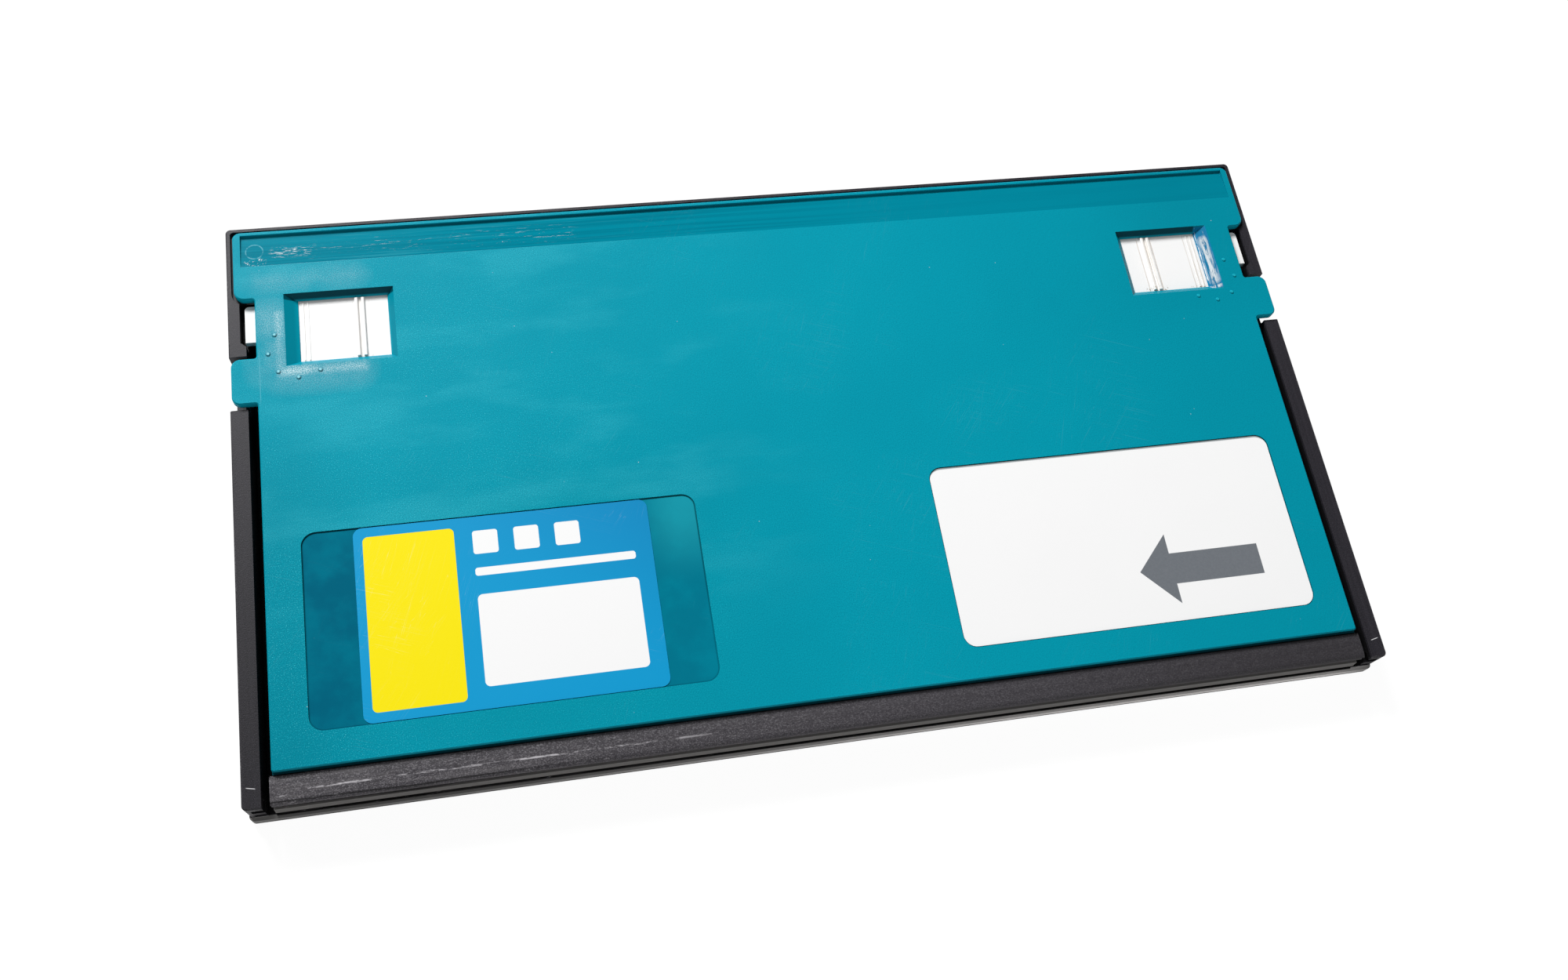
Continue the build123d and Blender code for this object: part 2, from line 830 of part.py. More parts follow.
def make_inner_plate():
    wall = skirt_thickness + inner_plate_clearance
    half = cover_half_x - wall
    plate = block(
        -half,
        half,
        skirt_near_y + wall,
        skirt_far_y - wall,
        inner_plate_bottom,
        inner_plate_top,
    )
    for x, y in plate_screw_spots():
        plate -= Pos(x, y, inner_plate_bottom) * Rot(180, 0, 0) * screw_hole(plate_screw_length)
    return plate


def make_inner_plate_screws():
    screw = Rot(180, 0, 0) * countersunk_screw(plate_screw_length)
    return Compound([Pos(x, y, inner_plate_bottom) * screw for x, y in plate_screw_spots()])


def make_foam_pad():
    half_x = screen_half_x + foam_margin
    half_y = screen_half_y + foam_margin
    return rounded_slab(
        half_x, -half_y, half_y, rear_screen_top, inner_plate_bottom, screen_corner_r
    )


def make_latch_guide(side):
    middle_x = (guide_inner_x + guide_outer_x) / 2
    middle_y = (guide_near_y + guide_far_y) / 2
    outline = RectangleRounded(
        guide_outer_x - guide_inner_x, guide_far_y - guide_near_y, guide_corner_r
    )
    plate = Pos(middle_x, middle_y, guide_bottom) * extrude(outline, guide_thickness)
    for x, y in guide_screw_places:
        plate -= Pos(x, y, guide_bottom) * Rot(180, 0, 0) * screw_hole(guide_screw_length)
    return plate if side > 0 else mirror(plate, about=Plane.YZ)


def make_latch_guide_screws():
    screw = Rot(180, 0, 0) * countersunk_screw(guide_screw_length)
    spots = [(side * x, y) for side in sides for x, y in guide_screw_places]
    return Compound([Pos(x, y, guide_bottom) * screw for x, y in spots])


def make_label(length, x_middle, radius):
    height = label_recess_height - 2 * label_margin
    bottom = cover_top - label_recess_depth
    outline = RectangleRounded(length, height, radius)
    return Pos(x_middle, label_y, bottom) * extrude(outline, label_thickness)


def make_info_label():
    length = label_recess_length - 2 * info_label_offset
    return make_label(length, -label_x, info_label_r)


def make_arrow_label():
    length = label_recess_length - 2 * label_margin
    return make_label(length, label_x, label_recess_r - label_margin)


def make_latch_spring(side):
    """A compression spring between the stop in the cover and the slot in the slider."""
    start = spring_stop_x + spring_end_gap + spring_wire_r
    end = slider_inner_x + spring_slot_depth - spring_end_gap - spring_wire_r
    length = end - start
    coil_r = spring_r - spring_wire_r
    corners = spring_turns * spring_turn_sides
    points = []
    for number in range(corners + 1):
        angle = 2 * math.pi * number / spring_turn_sides
        along = length * number / corners
        points.append((coil_r * math.cos(angle), coil_r * math.sin(angle), along))
    path = Polyline(*points)
    wire = Plane(origin=path @ 0, z_dir=path % 0) * RegularPolygon(spring_wire_r, spring_wire_sides)
    coil = sweep(wire, path=path, transition=Transition.RIGHT)
    spring = Pos(start, spring_y, spring_z) * Rot(0, 90, 0) * coil
    return spring if side > 0 else mirror(spring, about=Plane.YZ)


# ---- latch bodies


def make_latch_slider(side):
    """Thumb pad with ridges, a bolt that shows in the side notch, and a finger for the strike."""
    far = slider_far_y
    body = block(slider_inner_x, slider_outer_x, slider_near_y, far, slider_bottom, slider_top)
    stub_middle = stub_near_y + stub_width / 2
    stub = make_face(
        Polyline(
            (slider_outer_x - 1, stub_middle - stub_width / 2),
            (stub_end_x, stub_middle - stub_width / 2),
            (stub_end_x, stub_middle + stub_width / 2),
            (slider_outer_x - 1, stub_middle + stub_width / 2),
            close=True,
        )
    )
    far_corner = stub.vertices().sort_by_distance(Vector(stub_end_x, stub_near_y + stub_width, 0))[0]
    stub = fillet(far_corner, stub_corner_r)
    stub_top = slider_top - stub_top_step
    body += Pos(0, 0, slider_bottom) * extrude(stub, stub_top - slider_bottom)
    arm_end = slider_outer_x + arm_block_length
    body += block(arm_inner_x, slider_outer_x, far - 1, finger_far_y, slider_bottom, slider_top)
    body += block(slider_outer_x, arm_end, finger_near_y, finger_far_y, finger_bottom, slider_top)
    finger = block(arm_end, finger_end_x, finger_near_y, finger_far_y, finger_bottom, finger_top)
    tip = finger.faces().sort_by(Axis.X)[-1].edges().sort_by(Axis.Z)[0]
    body += chamfer(tip, finger_thickness / 2)

    ridge_low = window_near_y + window_slope_near + ridge_end_gap
    ridge_high = window_far_y - window_slope_far - ridge_end_gap
    rows = [(offset, ridge_width, ridge_height) for offset in ridge_offsets]
    rows += [(offset, fine_ridge_width, fine_ridge_height) for offset in fine_ridge_offsets]
    for offset, width, height in rows:
        x = window_inner_x + offset
        low, high = x - width / 2, x + width / 2
        ridge = block(low, high, ridge_low, ridge_high, slider_top, slider_top + height)
        tops = ridge.faces().sort_by(Axis.Z)[-1].edges().filter_by(Axis.Y)
        body += fillet(tops, min(width, height) * ridge_rounding)

    body -= block(
        slider_inner_x - 1,
        slider_inner_x + spring_slot_depth,
        spring_y - spring_slot_half_width,
        spring_y + spring_slot_half_width,
        slider_bottom - 1,
        slider_top + 1,
    )
    return body if side > 0 else mirror(body, about=Plane.YZ)


nodes = {
    "base_frame": make_base_frame(),
    "front_panel": make_front_panel(),
    "front_screen": make_screen(panel_top),
    "light_seal_far": make_far_seal(),
    "light_seal_near": make_near_seal(),
    "light_seal_left": make_side_seal(-1),
    "light_seal_right": make_side_seal(1),
    "hinge_base_leaf": make_hinge_base_leaf(),
    "base_leaf_screws": make_base_leaf_screws(),
    "rear_cover": make_rear_cover(),
    "hinge_cover_leaf": make_hinge_cover_leaf(),
    "cover_leaf_screws": make_cover_leaf_screws(),
    "inner_plate": make_inner_plate(),
    "inner_plate_screws": make_inner_plate_screws(),
    "foam_pad": make_foam_pad(),
    "rear_screen": make_screen(rear_screen_bottom),
    "latch_guide_left": make_latch_guide(-1),
    "latch_guide_right": make_latch_guide(1),
    "latch_guide_screws": make_latch_guide_screws(),
    "latch_spring_left": make_latch_spring(-1),
    "latch_spring_right": make_latch_spring(1),
    "info_label": make_info_label(),
    "arrow_label": make_arrow_label(),
    "latch_slider_left": make_latch_slider(-1),
    "latch_slider_right": make_latch_slider(1),
}

os.makedirs("parts", exist_ok=True)
for name, solid in nodes.items():
    export_step(solid, f"parts/{name}.step")
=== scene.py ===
# %% [markdown]
# # Dressing a film cassette
#
# The solids come packed, to size and on their joints. This lesson gives them materials,
# a camera, lights and a floor. Everything is in metres in the solids' own frame: X along
# the long side, Y from the hinge towards the latches, Z up. The materials work in
# millimetres, because every mark on the cassette was measured that way.

import json
import math

import bmesh
import bpy
import mathutils
from mathutils import Matrix, Vector

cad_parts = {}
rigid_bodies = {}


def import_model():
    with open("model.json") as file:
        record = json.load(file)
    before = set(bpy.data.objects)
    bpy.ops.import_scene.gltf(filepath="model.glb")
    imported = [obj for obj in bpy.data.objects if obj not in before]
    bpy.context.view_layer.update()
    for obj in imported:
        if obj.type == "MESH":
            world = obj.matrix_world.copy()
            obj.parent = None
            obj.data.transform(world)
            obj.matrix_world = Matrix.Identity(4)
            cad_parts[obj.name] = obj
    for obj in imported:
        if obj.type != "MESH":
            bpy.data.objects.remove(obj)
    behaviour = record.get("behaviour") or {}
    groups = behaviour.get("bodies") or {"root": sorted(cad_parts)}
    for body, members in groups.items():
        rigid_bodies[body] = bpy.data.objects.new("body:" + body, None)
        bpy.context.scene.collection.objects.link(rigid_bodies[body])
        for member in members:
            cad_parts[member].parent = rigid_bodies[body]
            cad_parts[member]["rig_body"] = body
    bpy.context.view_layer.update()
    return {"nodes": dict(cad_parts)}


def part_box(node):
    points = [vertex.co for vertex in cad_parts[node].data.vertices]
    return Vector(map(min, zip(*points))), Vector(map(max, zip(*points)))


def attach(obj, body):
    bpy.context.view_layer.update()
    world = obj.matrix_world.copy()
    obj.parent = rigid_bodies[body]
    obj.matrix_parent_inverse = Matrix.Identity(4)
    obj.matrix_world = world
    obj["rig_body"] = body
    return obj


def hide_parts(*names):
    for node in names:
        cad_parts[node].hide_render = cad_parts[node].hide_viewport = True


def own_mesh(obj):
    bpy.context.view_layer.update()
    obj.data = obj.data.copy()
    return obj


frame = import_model()
nodes = frame["nodes"]
BODY_OF = {name: node["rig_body"] for name, node in nodes.items()}

# %% [markdown]
# ## Camera
#
# The lens and the place of the camera were fitted to the corners of the frame and the
# edges of the cover. The three rows say where the picture's right, up and back point.

# %% Set the camera
def add_object(name, data):
    """An object for the data, linked to the scene."""
    thing = bpy.data.objects.new(name, data)
    bpy.context.scene.collection.objects.link(thing)
    return thing


camera_data = bpy.data.cameras.new("camera")
camera_data.sensor_width = 36.0
camera_data.lens = 33.285
camera_data.clip_start = 0.01
camera = add_object("camera", camera_data)
right = Vector((0.97818567, -0.1625638, 0.12932826))
up = Vector((0.10206786, 0.91835752, 0.38236319))
back = Vector((-0.180928, -0.36082194, 0.91491671))
turn = Matrix((right, up, back)).transposed().to_4x4()
camera.matrix_world = Matrix.Translation((-0.08609, -0.16913, 0.40592)) @ turn
bpy.context.scene.camera = camera
print("camera", tuple(round(v, 3) for v in camera.location))

# %% [markdown]
# ## Floor, light and world
#
# A white sweep under one large soft light from behind, so the shadow falls towards the
# hinge. The floor adds a little light of its own for the camera only, which makes it
# white without washing out the cassette.


# %% Floor
BELOW = 0.00005


def new_material(name):
    """An empty material: its tree and its output node."""
    material = bpy.data.materials.new(name)
    material.use_nodes = True
    material.node_tree.nodes.clear()
    output = material.node_tree.nodes.new("ShaderNodeOutputMaterial")
    return material, material.node_tree, output


def make_floor(half, albedo, camera_albedo, lift):
    """A wide pale floor. To the camera it is partly its own light, so the shadow stays faint."""
    mesh = bpy.data.meshes.new("floor")
    corners = [(x * half, y * half, -BELOW) for x, y in ((-1, -1), (1, -1), (1, 1), (-1, 1))]
    mesh.from_pydata(corners, [], [(0, 1, 2, 3)])
    floor = add_object("floor", mesh)
    material, tree, output = new_material("floor_white")
    ray = tree.nodes.new("ShaderNodeLightPath")
    shade = tree.nodes.new("ShaderNodeMapRange")
    shade.inputs["To Min"].default_value = albedo
    shade.inputs["To Max"].default_value = camera_albedo
    diffuse = tree.nodes.new("ShaderNodeBsdfDiffuse")
    scale = tree.nodes.new("ShaderNodeMath")
    scale.operation = "MULTIPLY"
    scale.inputs[1].default_value = lift
    glow = tree.nodes.new("ShaderNodeEmission")
    both = tree.nodes.new("ShaderNodeAddShader")
    tree.links.new(ray.outputs["Is Camera Ray"], shade.inputs["Value"])
    tree.links.new(shade.outputs["Result"], diffuse.inputs["Color"])
    tree.links.new(ray.outputs["Is Camera Ray"], scale.inputs[0])
    tree.links.new(scale.outputs[0], glow.inputs["Strength"])
    tree.links.new(diffuse.outputs[0], both.inputs[0])
    tree.links.new(glow.outputs[0], both.inputs[1])
    tree.links.new(both.outputs[0], output.inputs["Surface"])
    mesh.materials.append(material)
    return floor


floor = make_floor(half=3.0, albedo=0.8, camera_albedo=0.12, lift=0.94)
print("floor", floor.name)


# %% Lights
def soft_light(name, place, width, height, watts):
    """A soft box that points at the middle of the cassette."""
    data = bpy.data.lights.new(name, "AREA")
    data.shape = "RECTANGLE"
    data.size, data.size_y = width, height
    data.energy = watts
    light = add_object(name, data)
    light.location = place
    light.rotation_euler = (-Vector(place)).to_track_quat("-Z", "Y").to_euler()


soft_light("key", (-0.6, 1.45, 1.15), 0.8, 0.4, 50.0)
soft_light("fill", (0.75, -1.1, 0.8), 1.0, 0.8, 2.2)
soft_light("front", (-0.2, -1.6, 0.28), 1.6, 0.4, 4.4)


# %% World
def make_world(strength, mirrored):
    """A white room: full white to the camera, softer as a light, and dim in reflections."""
    world = bpy.data.worlds.new("white_room")
    world.use_nodes = True
    tree = world.node_tree
    background = tree.nodes["Background"]
    background.inputs["Color"].default_value = (1, 1, 1, 1)
    ray = tree.nodes.new("ShaderNodeLightPath")
    level = strength
    for kind, amount in (("Is Glossy Ray", mirrored), ("Is Camera Ray", 1.0)):
        node = tree.nodes.new("ShaderNodeMix")
        tree.links.new(ray.outputs[kind], node.inputs[0])
        if isinstance(level, float):
            node.inputs[2].default_value = level
        else:
            tree.links.new(level, node.inputs[2])
        node.inputs[3].default_value = amount
        level = node.outputs[0]
    tree.links.new(level, background.inputs["Strength"])
    bpy.context.scene.world = world


make_world(strength=0.22, mirrored=0.045)
bpy.context.scene.view_settings.view_transform = "Standard"

# %% [markdown]
# ## A small language for node trees
#
# A Wire is a value, vector or colour on its way through a node tree. Plain arithmetic on
# it adds the nodes, so that a mark on the plastic reads as a formula in millimetres.


# %% Wires
class Wire:
    """One output socket, with arithmetic that adds nodes to its tree."""

    def __init__(self, tree, socket):
        self.tree = tree
        self.socket = socket

    def through(self, kind, operation, others, output=0):
        """The output of a new node that takes this wire and the others."""
        node = self.tree.nodes.new(kind)
        node.operation = operation
        for socket, value in zip(node.inputs, (self, *others)):
            feed(self.tree, value, socket)
        return Wire(self.tree, node.outputs[output])

    def math(self, operation, *others):
        return self.through("ShaderNodeMath", operation, others)

    def vector(self, operation, *others):
        return self.through("ShaderNodeVectorMath", operation, others)

    def length(self):
        return self.through("ShaderNodeVectorMath", "LENGTH", (), "Value")

    def __add__(self, other):
        return self.math("ADD", other)

    def __sub__(self, other):
        if isinstance(other, tuple):
            return self.vector("SUBTRACT", other)
        return self.math("SUBTRACT", other)

    def __mul__(self, other):
        return self.math("MULTIPLY", other)

    def __abs__(self):
        return self.math("ABSOLUTE")

    def __or__(self, other):
        return self.math("MAXIMUM", other)

    def __and__(self, other):
        return self.math("MINIMUM", other)

    def ramp(self, low, high):
        """0 below low, 1 above high, smooth between; turned round where high is the lower."""
        node = self.tree.nodes.new("ShaderNodeMapRange")
        node.interpolation_type = "SMOOTHSTEP"
        feed(self.tree, self, node.inputs["Value"])
        node.inputs["From Min"].default_value = min(low, high)
        node.inputs["From Max"].default_value = max(low, high)
        node.inputs["To Min"].default_value = 0.0 if low < high else 1.0
        node.inputs["To Max"].default_value = 1.0 if low < high else 0.0
        return Wire(self.tree, node.outputs["Result"])


def feed(tree, value, socket):
    """Links a wire to a socket, or sets the socket to a plain value."""
    if isinstance(value, Wire):
        tree.links.new(value.socket, socket)
    else:
        socket.default_value = value


# %% Position, textures and mixing
def split(place):
    """The x, y and z of a place."""
    node = place.tree.nodes.new("ShaderNodeSeparateXYZ")
    feed(place.tree, place, node.inputs[0])
    return [Wire(place.tree, socket) for socket in node.outputs]


def millimetres(tree):
    """The place on the solid, in millimetres, as (vector, x, y, z)."""
    metres = Wire(tree, tree.nodes.new("ShaderNodeTexCoord").outputs["Object"])
    place = stretched(metres, 1000.0, 1000.0, 1000.0)
    return (place, *split(place))


def stretched(place, x_scale, y_scale, z_scale):
    """The place with each axis scaled, which stretches a texture along the smaller ones."""
    return place.vector("MULTIPLY", (x_scale, y_scale, z_scale))


def noise(place, scale, detail=3.0, roughness=0.55):
    """Soft noise from 0 to 1, with scale in waves per millimetre."""
    node = place.tree.nodes.new("ShaderNodeTexNoise")
    feed(place.tree, place, node.inputs["Vector"])
    node.inputs["Scale"].default_value = scale
    node.inputs["Detail"].default_value = detail
    node.inputs["Roughness"].default_value = roughness
    return Wire(place.tree, node.outputs["Fac"])


def streaky(place, x_scale, y_scale, z_scale=1.0, **kind):
    """Noise drawn out along the axes that have the smaller scales."""
    return noise(stretched(place, x_scale, y_scale, z_scale), 1.0, **kind)


def cells(place, scale):
    """The distance to the nearest of many scattered points."""
    node = place.tree.nodes.new("ShaderNodeTexVoronoi")
    feed(place.tree, place, node.inputs["Vector"])
    node.inputs["Scale"].default_value = scale
    return Wire(place.tree, node.outputs["Distance"])


def mix(mask, first, second):
    """The first colour where the mask is 0 and the second where it is 1."""
    node = mask.tree.nodes.new("ShaderNodeMix")
    node.data_type = "RGBA"
    feed(mask.tree, mask, node.inputs[0])
    for value, socket in ((first, node.inputs[6]), (second, node.inputs[7])):
        feed(mask.tree, value if isinstance(value, Wire) else (*value, 1.0), socket)
    return Wire(mask.tree, node.outputs[2])


def bump(height, strength, distance):
    """A normal from a height; the distance is how far the full height stands out, in metres."""
    node = height.tree.nodes.new("ShaderNodeBump")
    node.inputs["Strength"].default_value = strength
    node.inputs["Distance"].default_value = distance
    feed(height.tree, height, node.inputs["Height"])
    return Wire(height.tree, node.outputs["Normal"])


print("wires ready")


# %% [markdown]
# ## Marks that several materials share
#
# Moulded grain, hair scratches, dust and rounded boxes are node groups, so each is
# described once and used by name.


# %% Group maker
def make_group(name, inputs, outputs, build):
    """A node group: its sockets, and a function that fills it."""
    tree = bpy.data.node_groups.new(name, "ShaderNodeTree")
    for label, kind, default in inputs:
        socket = tree.interface.new_socket(label, in_out="INPUT", socket_type=kind)
        if default is not None:
            socket.default_value = default
    for label in outputs:
        tree.interface.new_socket(label, in_out="OUTPUT", socket_type="NodeSocketFloat")
    source = tree.nodes.new("NodeGroupInput")
    target = tree.nodes.new("NodeGroupOutput")
    wires = [Wire(tree, source.outputs[label]) for label, _, _ in inputs]
    for result, label in zip(build(*wires), outputs):
        tree.links.new(result.socket, target.inputs[label])
    return tree


def use(group, place, **values):
    """Adds the group to the tree that place is in and returns its outputs as wires."""
    node = place.tree.nodes.new("ShaderNodeGroup")
    node.node_tree = group
    feed(place.tree, place, node.inputs["Place"])
    for label, value in values.items():
        feed(place.tree, value, node.inputs[label])
    return [Wire(place.tree, socket) for socket in node.outputs]


FLOAT, VECTOR = "NodeSocketFloat", "NodeSocketVector"


# %% Grain, scratches and dust
def build_grain(place):
    fine = noise(place, 4.6, detail=1.0, roughness=0.6)
    pits = cells(place, 3.4).ramp(0.05, 0.75)
    return [fine * 0.6 + pits * 0.4]


HAIR_WAYS = ((0.35, 0.02, 1.1), (-0.9, 0.03, 0.9), (1.9, 0.025, 1.0))


def build_scratches(place, amount):
    """Thin lines in three directions: each is where stretched noise crosses its middle."""
    lines = None
    for angle, length_scale, across_scale in HAIR_WAYS:
        turned = place.tree.nodes.new("ShaderNodeVectorRotate")
        turned.rotation_type = "Z_AXIS"
        feed(place.tree, place, turned.inputs["Vector"])
        turned.inputs["Angle"].default_value = angle
        along = stretched(Wire(place.tree, turned.outputs[0]), length_scale, across_scale, 1.0)
        hair = abs(noise(along, 1.0, detail=1.0) - 0.5).ramp(0.006, 0.0)
        patch = noise(place, 0.03 + abs(angle) * 0.004).ramp(0.52, 0.66)
        hair = hair * patch
        lines = hair if lines is None else lines | hair
    return [lines * amount]


def build_dust(place, amount):
    spot = cells(place, 0.16).ramp(0.030, 0.012)
    choose = noise(place, 0.05).ramp(0.5, 0.62)
    return [spot * choose * amount]


grain_group = make_group(
    "moulded_grain", [("Place", VECTOR, None)], ["Height"], build_grain
)
scratch_group = make_group(
    "hair_scratches", [("Place", VECTOR, None), ("Amount", FLOAT, 1.0)], ["Mask"], build_scratches
)
dust_group = make_group(
    "dust_specks", [("Place", VECTOR, None), ("Amount", FLOAT, 1.0)], ["Mask"], build_dust
)


def scratched(place, colour, amount, tint):
    """The colour with hair scratches of a tint over it."""
    return mix(use(scratch_group, place, Amount=amount)[0], colour, tint)


def dusty(place, colour, amount, tint):
    """The colour with specks of dust over it."""
    return mix(use(dust_group, place, Amount=amount)[0], colour, tint)


# %% Rounded box
def build_box(place, centre_x, centre_y, half_x, half_y, radius, soft):
    x, y, _ = split(place)
    across = abs(x - centre_x) - half_x + radius
    along = abs(y - centre_y) - half_y + radius
    outside_x, outside_y = across | 0.0, along | 0.0
    corner = (outside_x * outside_x + outside_y * outside_y).math("SQRT")
    distance = corner + ((across | along) & 0.0) - radius
    mask = distance.math("DIVIDE", soft) * -1.0 + 0.5
    return [mask.math("MINIMUM", 1.0).math("MAXIMUM", 0.0)]


BOX_LABELS = ("CentreX", "CentreY", "HalfX", "HalfY", "Radius", "Soft")
box_group = make_group(
    "rounded_box",
    [("Place", VECTOR, None), *((label, FLOAT, 0.0) for label in BOX_LABELS)],
    ["Mask"],
    build_box,
)


def box(place, x_low, x_high, y_low, y_high, radius=0.01, soft=0.12):
    """A mask that is 1 inside a rounded box on the plan, in millimetres."""
    centre = (x_low + x_high) / 2, (y_low + y_high) / 2
    half = (x_high - x_low) / 2, (y_high - y_low) / 2
    return use(box_group, place, **dict(zip(BOX_LABELS, (*centre, *half, radius, soft))))[0]


print("groups", [group.name for group in bpy.data.node_groups])


# %% Surface maker
def finish_material(parts, colour, roughness, normal=None, **constants):
    """Puts a Principled shader on the tree. Constants go on the shader's own sockets."""
    material, tree, output = parts
    shader = tree.nodes.new("ShaderNodeBsdfPrincipled")
    feed(tree, colour if isinstance(colour, Wire) else (*colour, 1.0), shader.inputs["Base Color"])
    feed(tree, roughness, shader.inputs["Roughness"])
    if normal is not None:
        feed(tree, normal, shader.inputs["Normal"])
    for label, value in constants.items():
        shader.inputs[label.replace("_", " ")].default_value = value
    tree.links.new(shader.outputs[0], output.inputs["Surface"])
    return material


def dress(material, *names):
    """Gives the material to the named solids."""
    for name in names:
        slots = nodes[name].data.materials
        slots.clear()
        slots.append(material)
    print(material.name, "on", ", ".join(names))


# %% [markdown]
# ## Teal cover
#
# The real cover is a moulding with fine grain on its flat top and smooth places round it.
# Painting a picture of it would fix every mark to one size of image, so each mark is a
# formula on the place in millimetres instead, and stays sharp from any distance. The marks
# come one family at a time, in the order in which they lie on each other.


# %% Places on the cover
STRIP = (-159.6, 159.6, 74.1, 85.0)
RECESS = (35.5, 146.0, -69.4, -12.9)
RECESS_CORNER = 4.0
WINDOW = (115.9, 148.0, 39.7, 64.1)
BUMPS = ((150.7, 50.3), (152.7, 44.1), (150.0, 38.1), (144.4, 35.8), (138.2, 37.7))
DUST_WHITE, DUST_GREY = (0.95, 0.95, 0.95), (0.68, 0.68, 0.68)


def pair(place, x_low, x_high, y_low, y_high, radius=0.01, soft=0.12):
    """A rounded box on the right half and its mirror image on the left half."""
    right_box = box(place, x_low, x_high, y_low, y_high, radius, soft)
    return right_box | box(place, -x_high, -x_low, y_low, y_high, radius, soft)


def grown(area, margin):
    """The area, larger by the margin on every side."""
    x_low, x_high, y_low, y_high = area
    return (x_low - margin, x_high + margin, y_low - margin, y_high + margin)


print("bumps on each half", len(BUMPS))


# %% Teal: the plastic itself, with painted shade
def teal_with_painted_shade(place, x, y):
    """Cloudy teal with painted shade: darker at the near left, at the right end and in the far
    right corner.
    """
    cloud = noise(place, 0.02, detail=4.0)
    colour = mix(cloud, (0.0004, 0.279, 0.381), (0.0005, 0.326, 0.435))
    # Painted shade: broad darker areas that stand for the light falling off across the cover.
    shade = x.ramp(20.0, -60.0) * y.ramp(20.0, -30.0) * 0.08
    shade = shade + x.ramp(30.0, 160.0) * 0.10
    shade = shade + x.ramp(90.0, 140.0) * y.ramp(20.0, 50.0) * 0.09
    near_left_shade = y.ramp(-30.0, -78.0) * 0.10 + y.ramp(30.0, 0.0) * 0.13
    shade = shade + x.ramp(-120.0, -156.0) * near_left_shade
    return mix(shade, colour, (0.0, 0.068, 0.095))


# %% Teal: painted shade, rubbing and old adhesive on the strip
def strip_shade_and_rubbing(place, x, strip, colour):
    """Painted shade darkens the smooth strip, most at the left, with rubbed streaks; pale ones on
    the left half also stand as painted sheen.
    """
    streaks = streaky(place, 0.012, 0.9, detail=4.0)
    calm = x.ramp(60.0, -40.0) * 0.27 + 0.08
    # Painted shade: the smooth strip darker than the grain, deepest at the left.
    dark = strip * (streaks.ramp(0.40, 0.64) * calm + 0.62)
    colour = mix(dark, colour, (0.0004, 0.175, 0.250))
    # Pale rubbed streaks on the left half, which also stand as a painted sheen.
    rub = streaky(place, 0.03, 1.3, detail=5.0).ramp(0.56, 0.7)
    return mix(rub * strip * x.ramp(10.0, -60.0) * 0.12, colour, (0.080, 0.500, 0.600))


def adhesive_bits(place, strip):
    """Crumbs of old adhesive: thick at the strip's left end, a thin trail to the right."""
    thick = streaky(place, 0.45, 3.2, detail=6.0, roughness=0.75)
    thick = thick.ramp(0.54, 0.62) * box(place, -150.5, -140.0, 77.4, 79.8, 1.0, 2.5)
    trail = streaky(place, 0.16, 2.6, detail=6.0, roughness=0.8)
    trail = trail.ramp(0.60, 0.68) * box(place, -140.0, -60.0, 76.5, 81.0, 1.5, 4.0)
    corner = noise(place, 1.0, detail=5.0, roughness=0.8).ramp(0.56, 0.62)
    corner = corner * box(place, -158.5, -152.5, 74.6, 77.2, 1.0, 1.0)
    return (thick | trail * 0.5 | corner) * strip


def ring_mark(place, strip, colour):
    """The faint ring that a mould's ejector pin left in the strip."""
    radius = stretched(place - (-155.6, 79.3, 0.0), 1.0, 1.0, 0.0).length()
    ring = abs(radius - 2.5).ramp(0.28, 0.05)
    broken = noise(place, 0.9).ramp(0.42, 0.60) * 0.28 + 0.05
    return mix(ring * strip * broken, colour, (0.30, 0.72, 0.82))


# %% Teal: sheen and sparkle of the grain
def painted_sheen(place, sparkle, flat, colour):
    """A painted sheen: pale patches of lit grain round the left window."""
    sheen = box(place, -150.0, -125.0, 36.8, 39.2, 0.8, 3.0)
    sheen = sheen | box(place, -150.5, -148.6, 38.0, 58.0, 0.8, 3.5) * 0.8
    sheen = sheen | box(place, -151.0, -126.0, 34.5, 39.0, 2.0, 11.0) * 0.35
    sheen = sheen | box(place, -156.0, -149.0, 36.0, 60.0, 2.0, 9.0) * 0.35
    sheen = sheen | box(place, -158.0, -125.0, 66.5, 71.0, 3.0, 8.0) * 0.25
    fade = noise(place, 0.06, detail=3.0, roughness=0.6).ramp(0.25, 0.60)
    # Painted sheen, broken by the sparkle of the grain.
    return mix(sheen * (sparkle + 0.22) * fade * flat, colour, (0.80, 0.93, 0.95))


def wiped_smudges(place, x, y, sparkle, flat, colour):
    """Wide pale smudges on the left half, drawn out the way it was wiped."""
    smudge = streaky(place, 0.020, 0.060, detail=4.0, roughness=0.55)
    smudge = smudge.ramp(0.46, 0.70) * x.ramp(20.0, -50.0) * y.ramp(-60.0, -20.0) * flat
    return mix(smudge * (sparkle * 0.7 + 0.3) * 0.32, colour, (0.068, 0.571, 0.68))


def grain_sparkle(place, x, flat, colour):
    """Lit and shaded sides of single grains, brighter to the left."""
    glint = noise(place, 3.6, detail=2.0, roughness=0.75)
    patches = noise(place, 0.03, detail=3.0).ramp(0.36, 0.62) * 0.6 + 0.5
    lit = (x.ramp(110.0, -130.0) * 0.6 + 0.2) * patches
    colour = mix(glint.ramp(0.54, 0.66) * lit * flat * 0.5, colour, (0.0082, 0.626, 0.748))
    bright = glint.ramp(0.64, 0.70) * x.ramp(0.0, -140.0) * patches
    colour = mix(bright * flat * 0.26, colour, (0.40, 0.90, 0.92))
    return mix(glint.ramp(0.48, 0.36) * flat * 0.40, colour, (0.0, 0.136, 0.204))
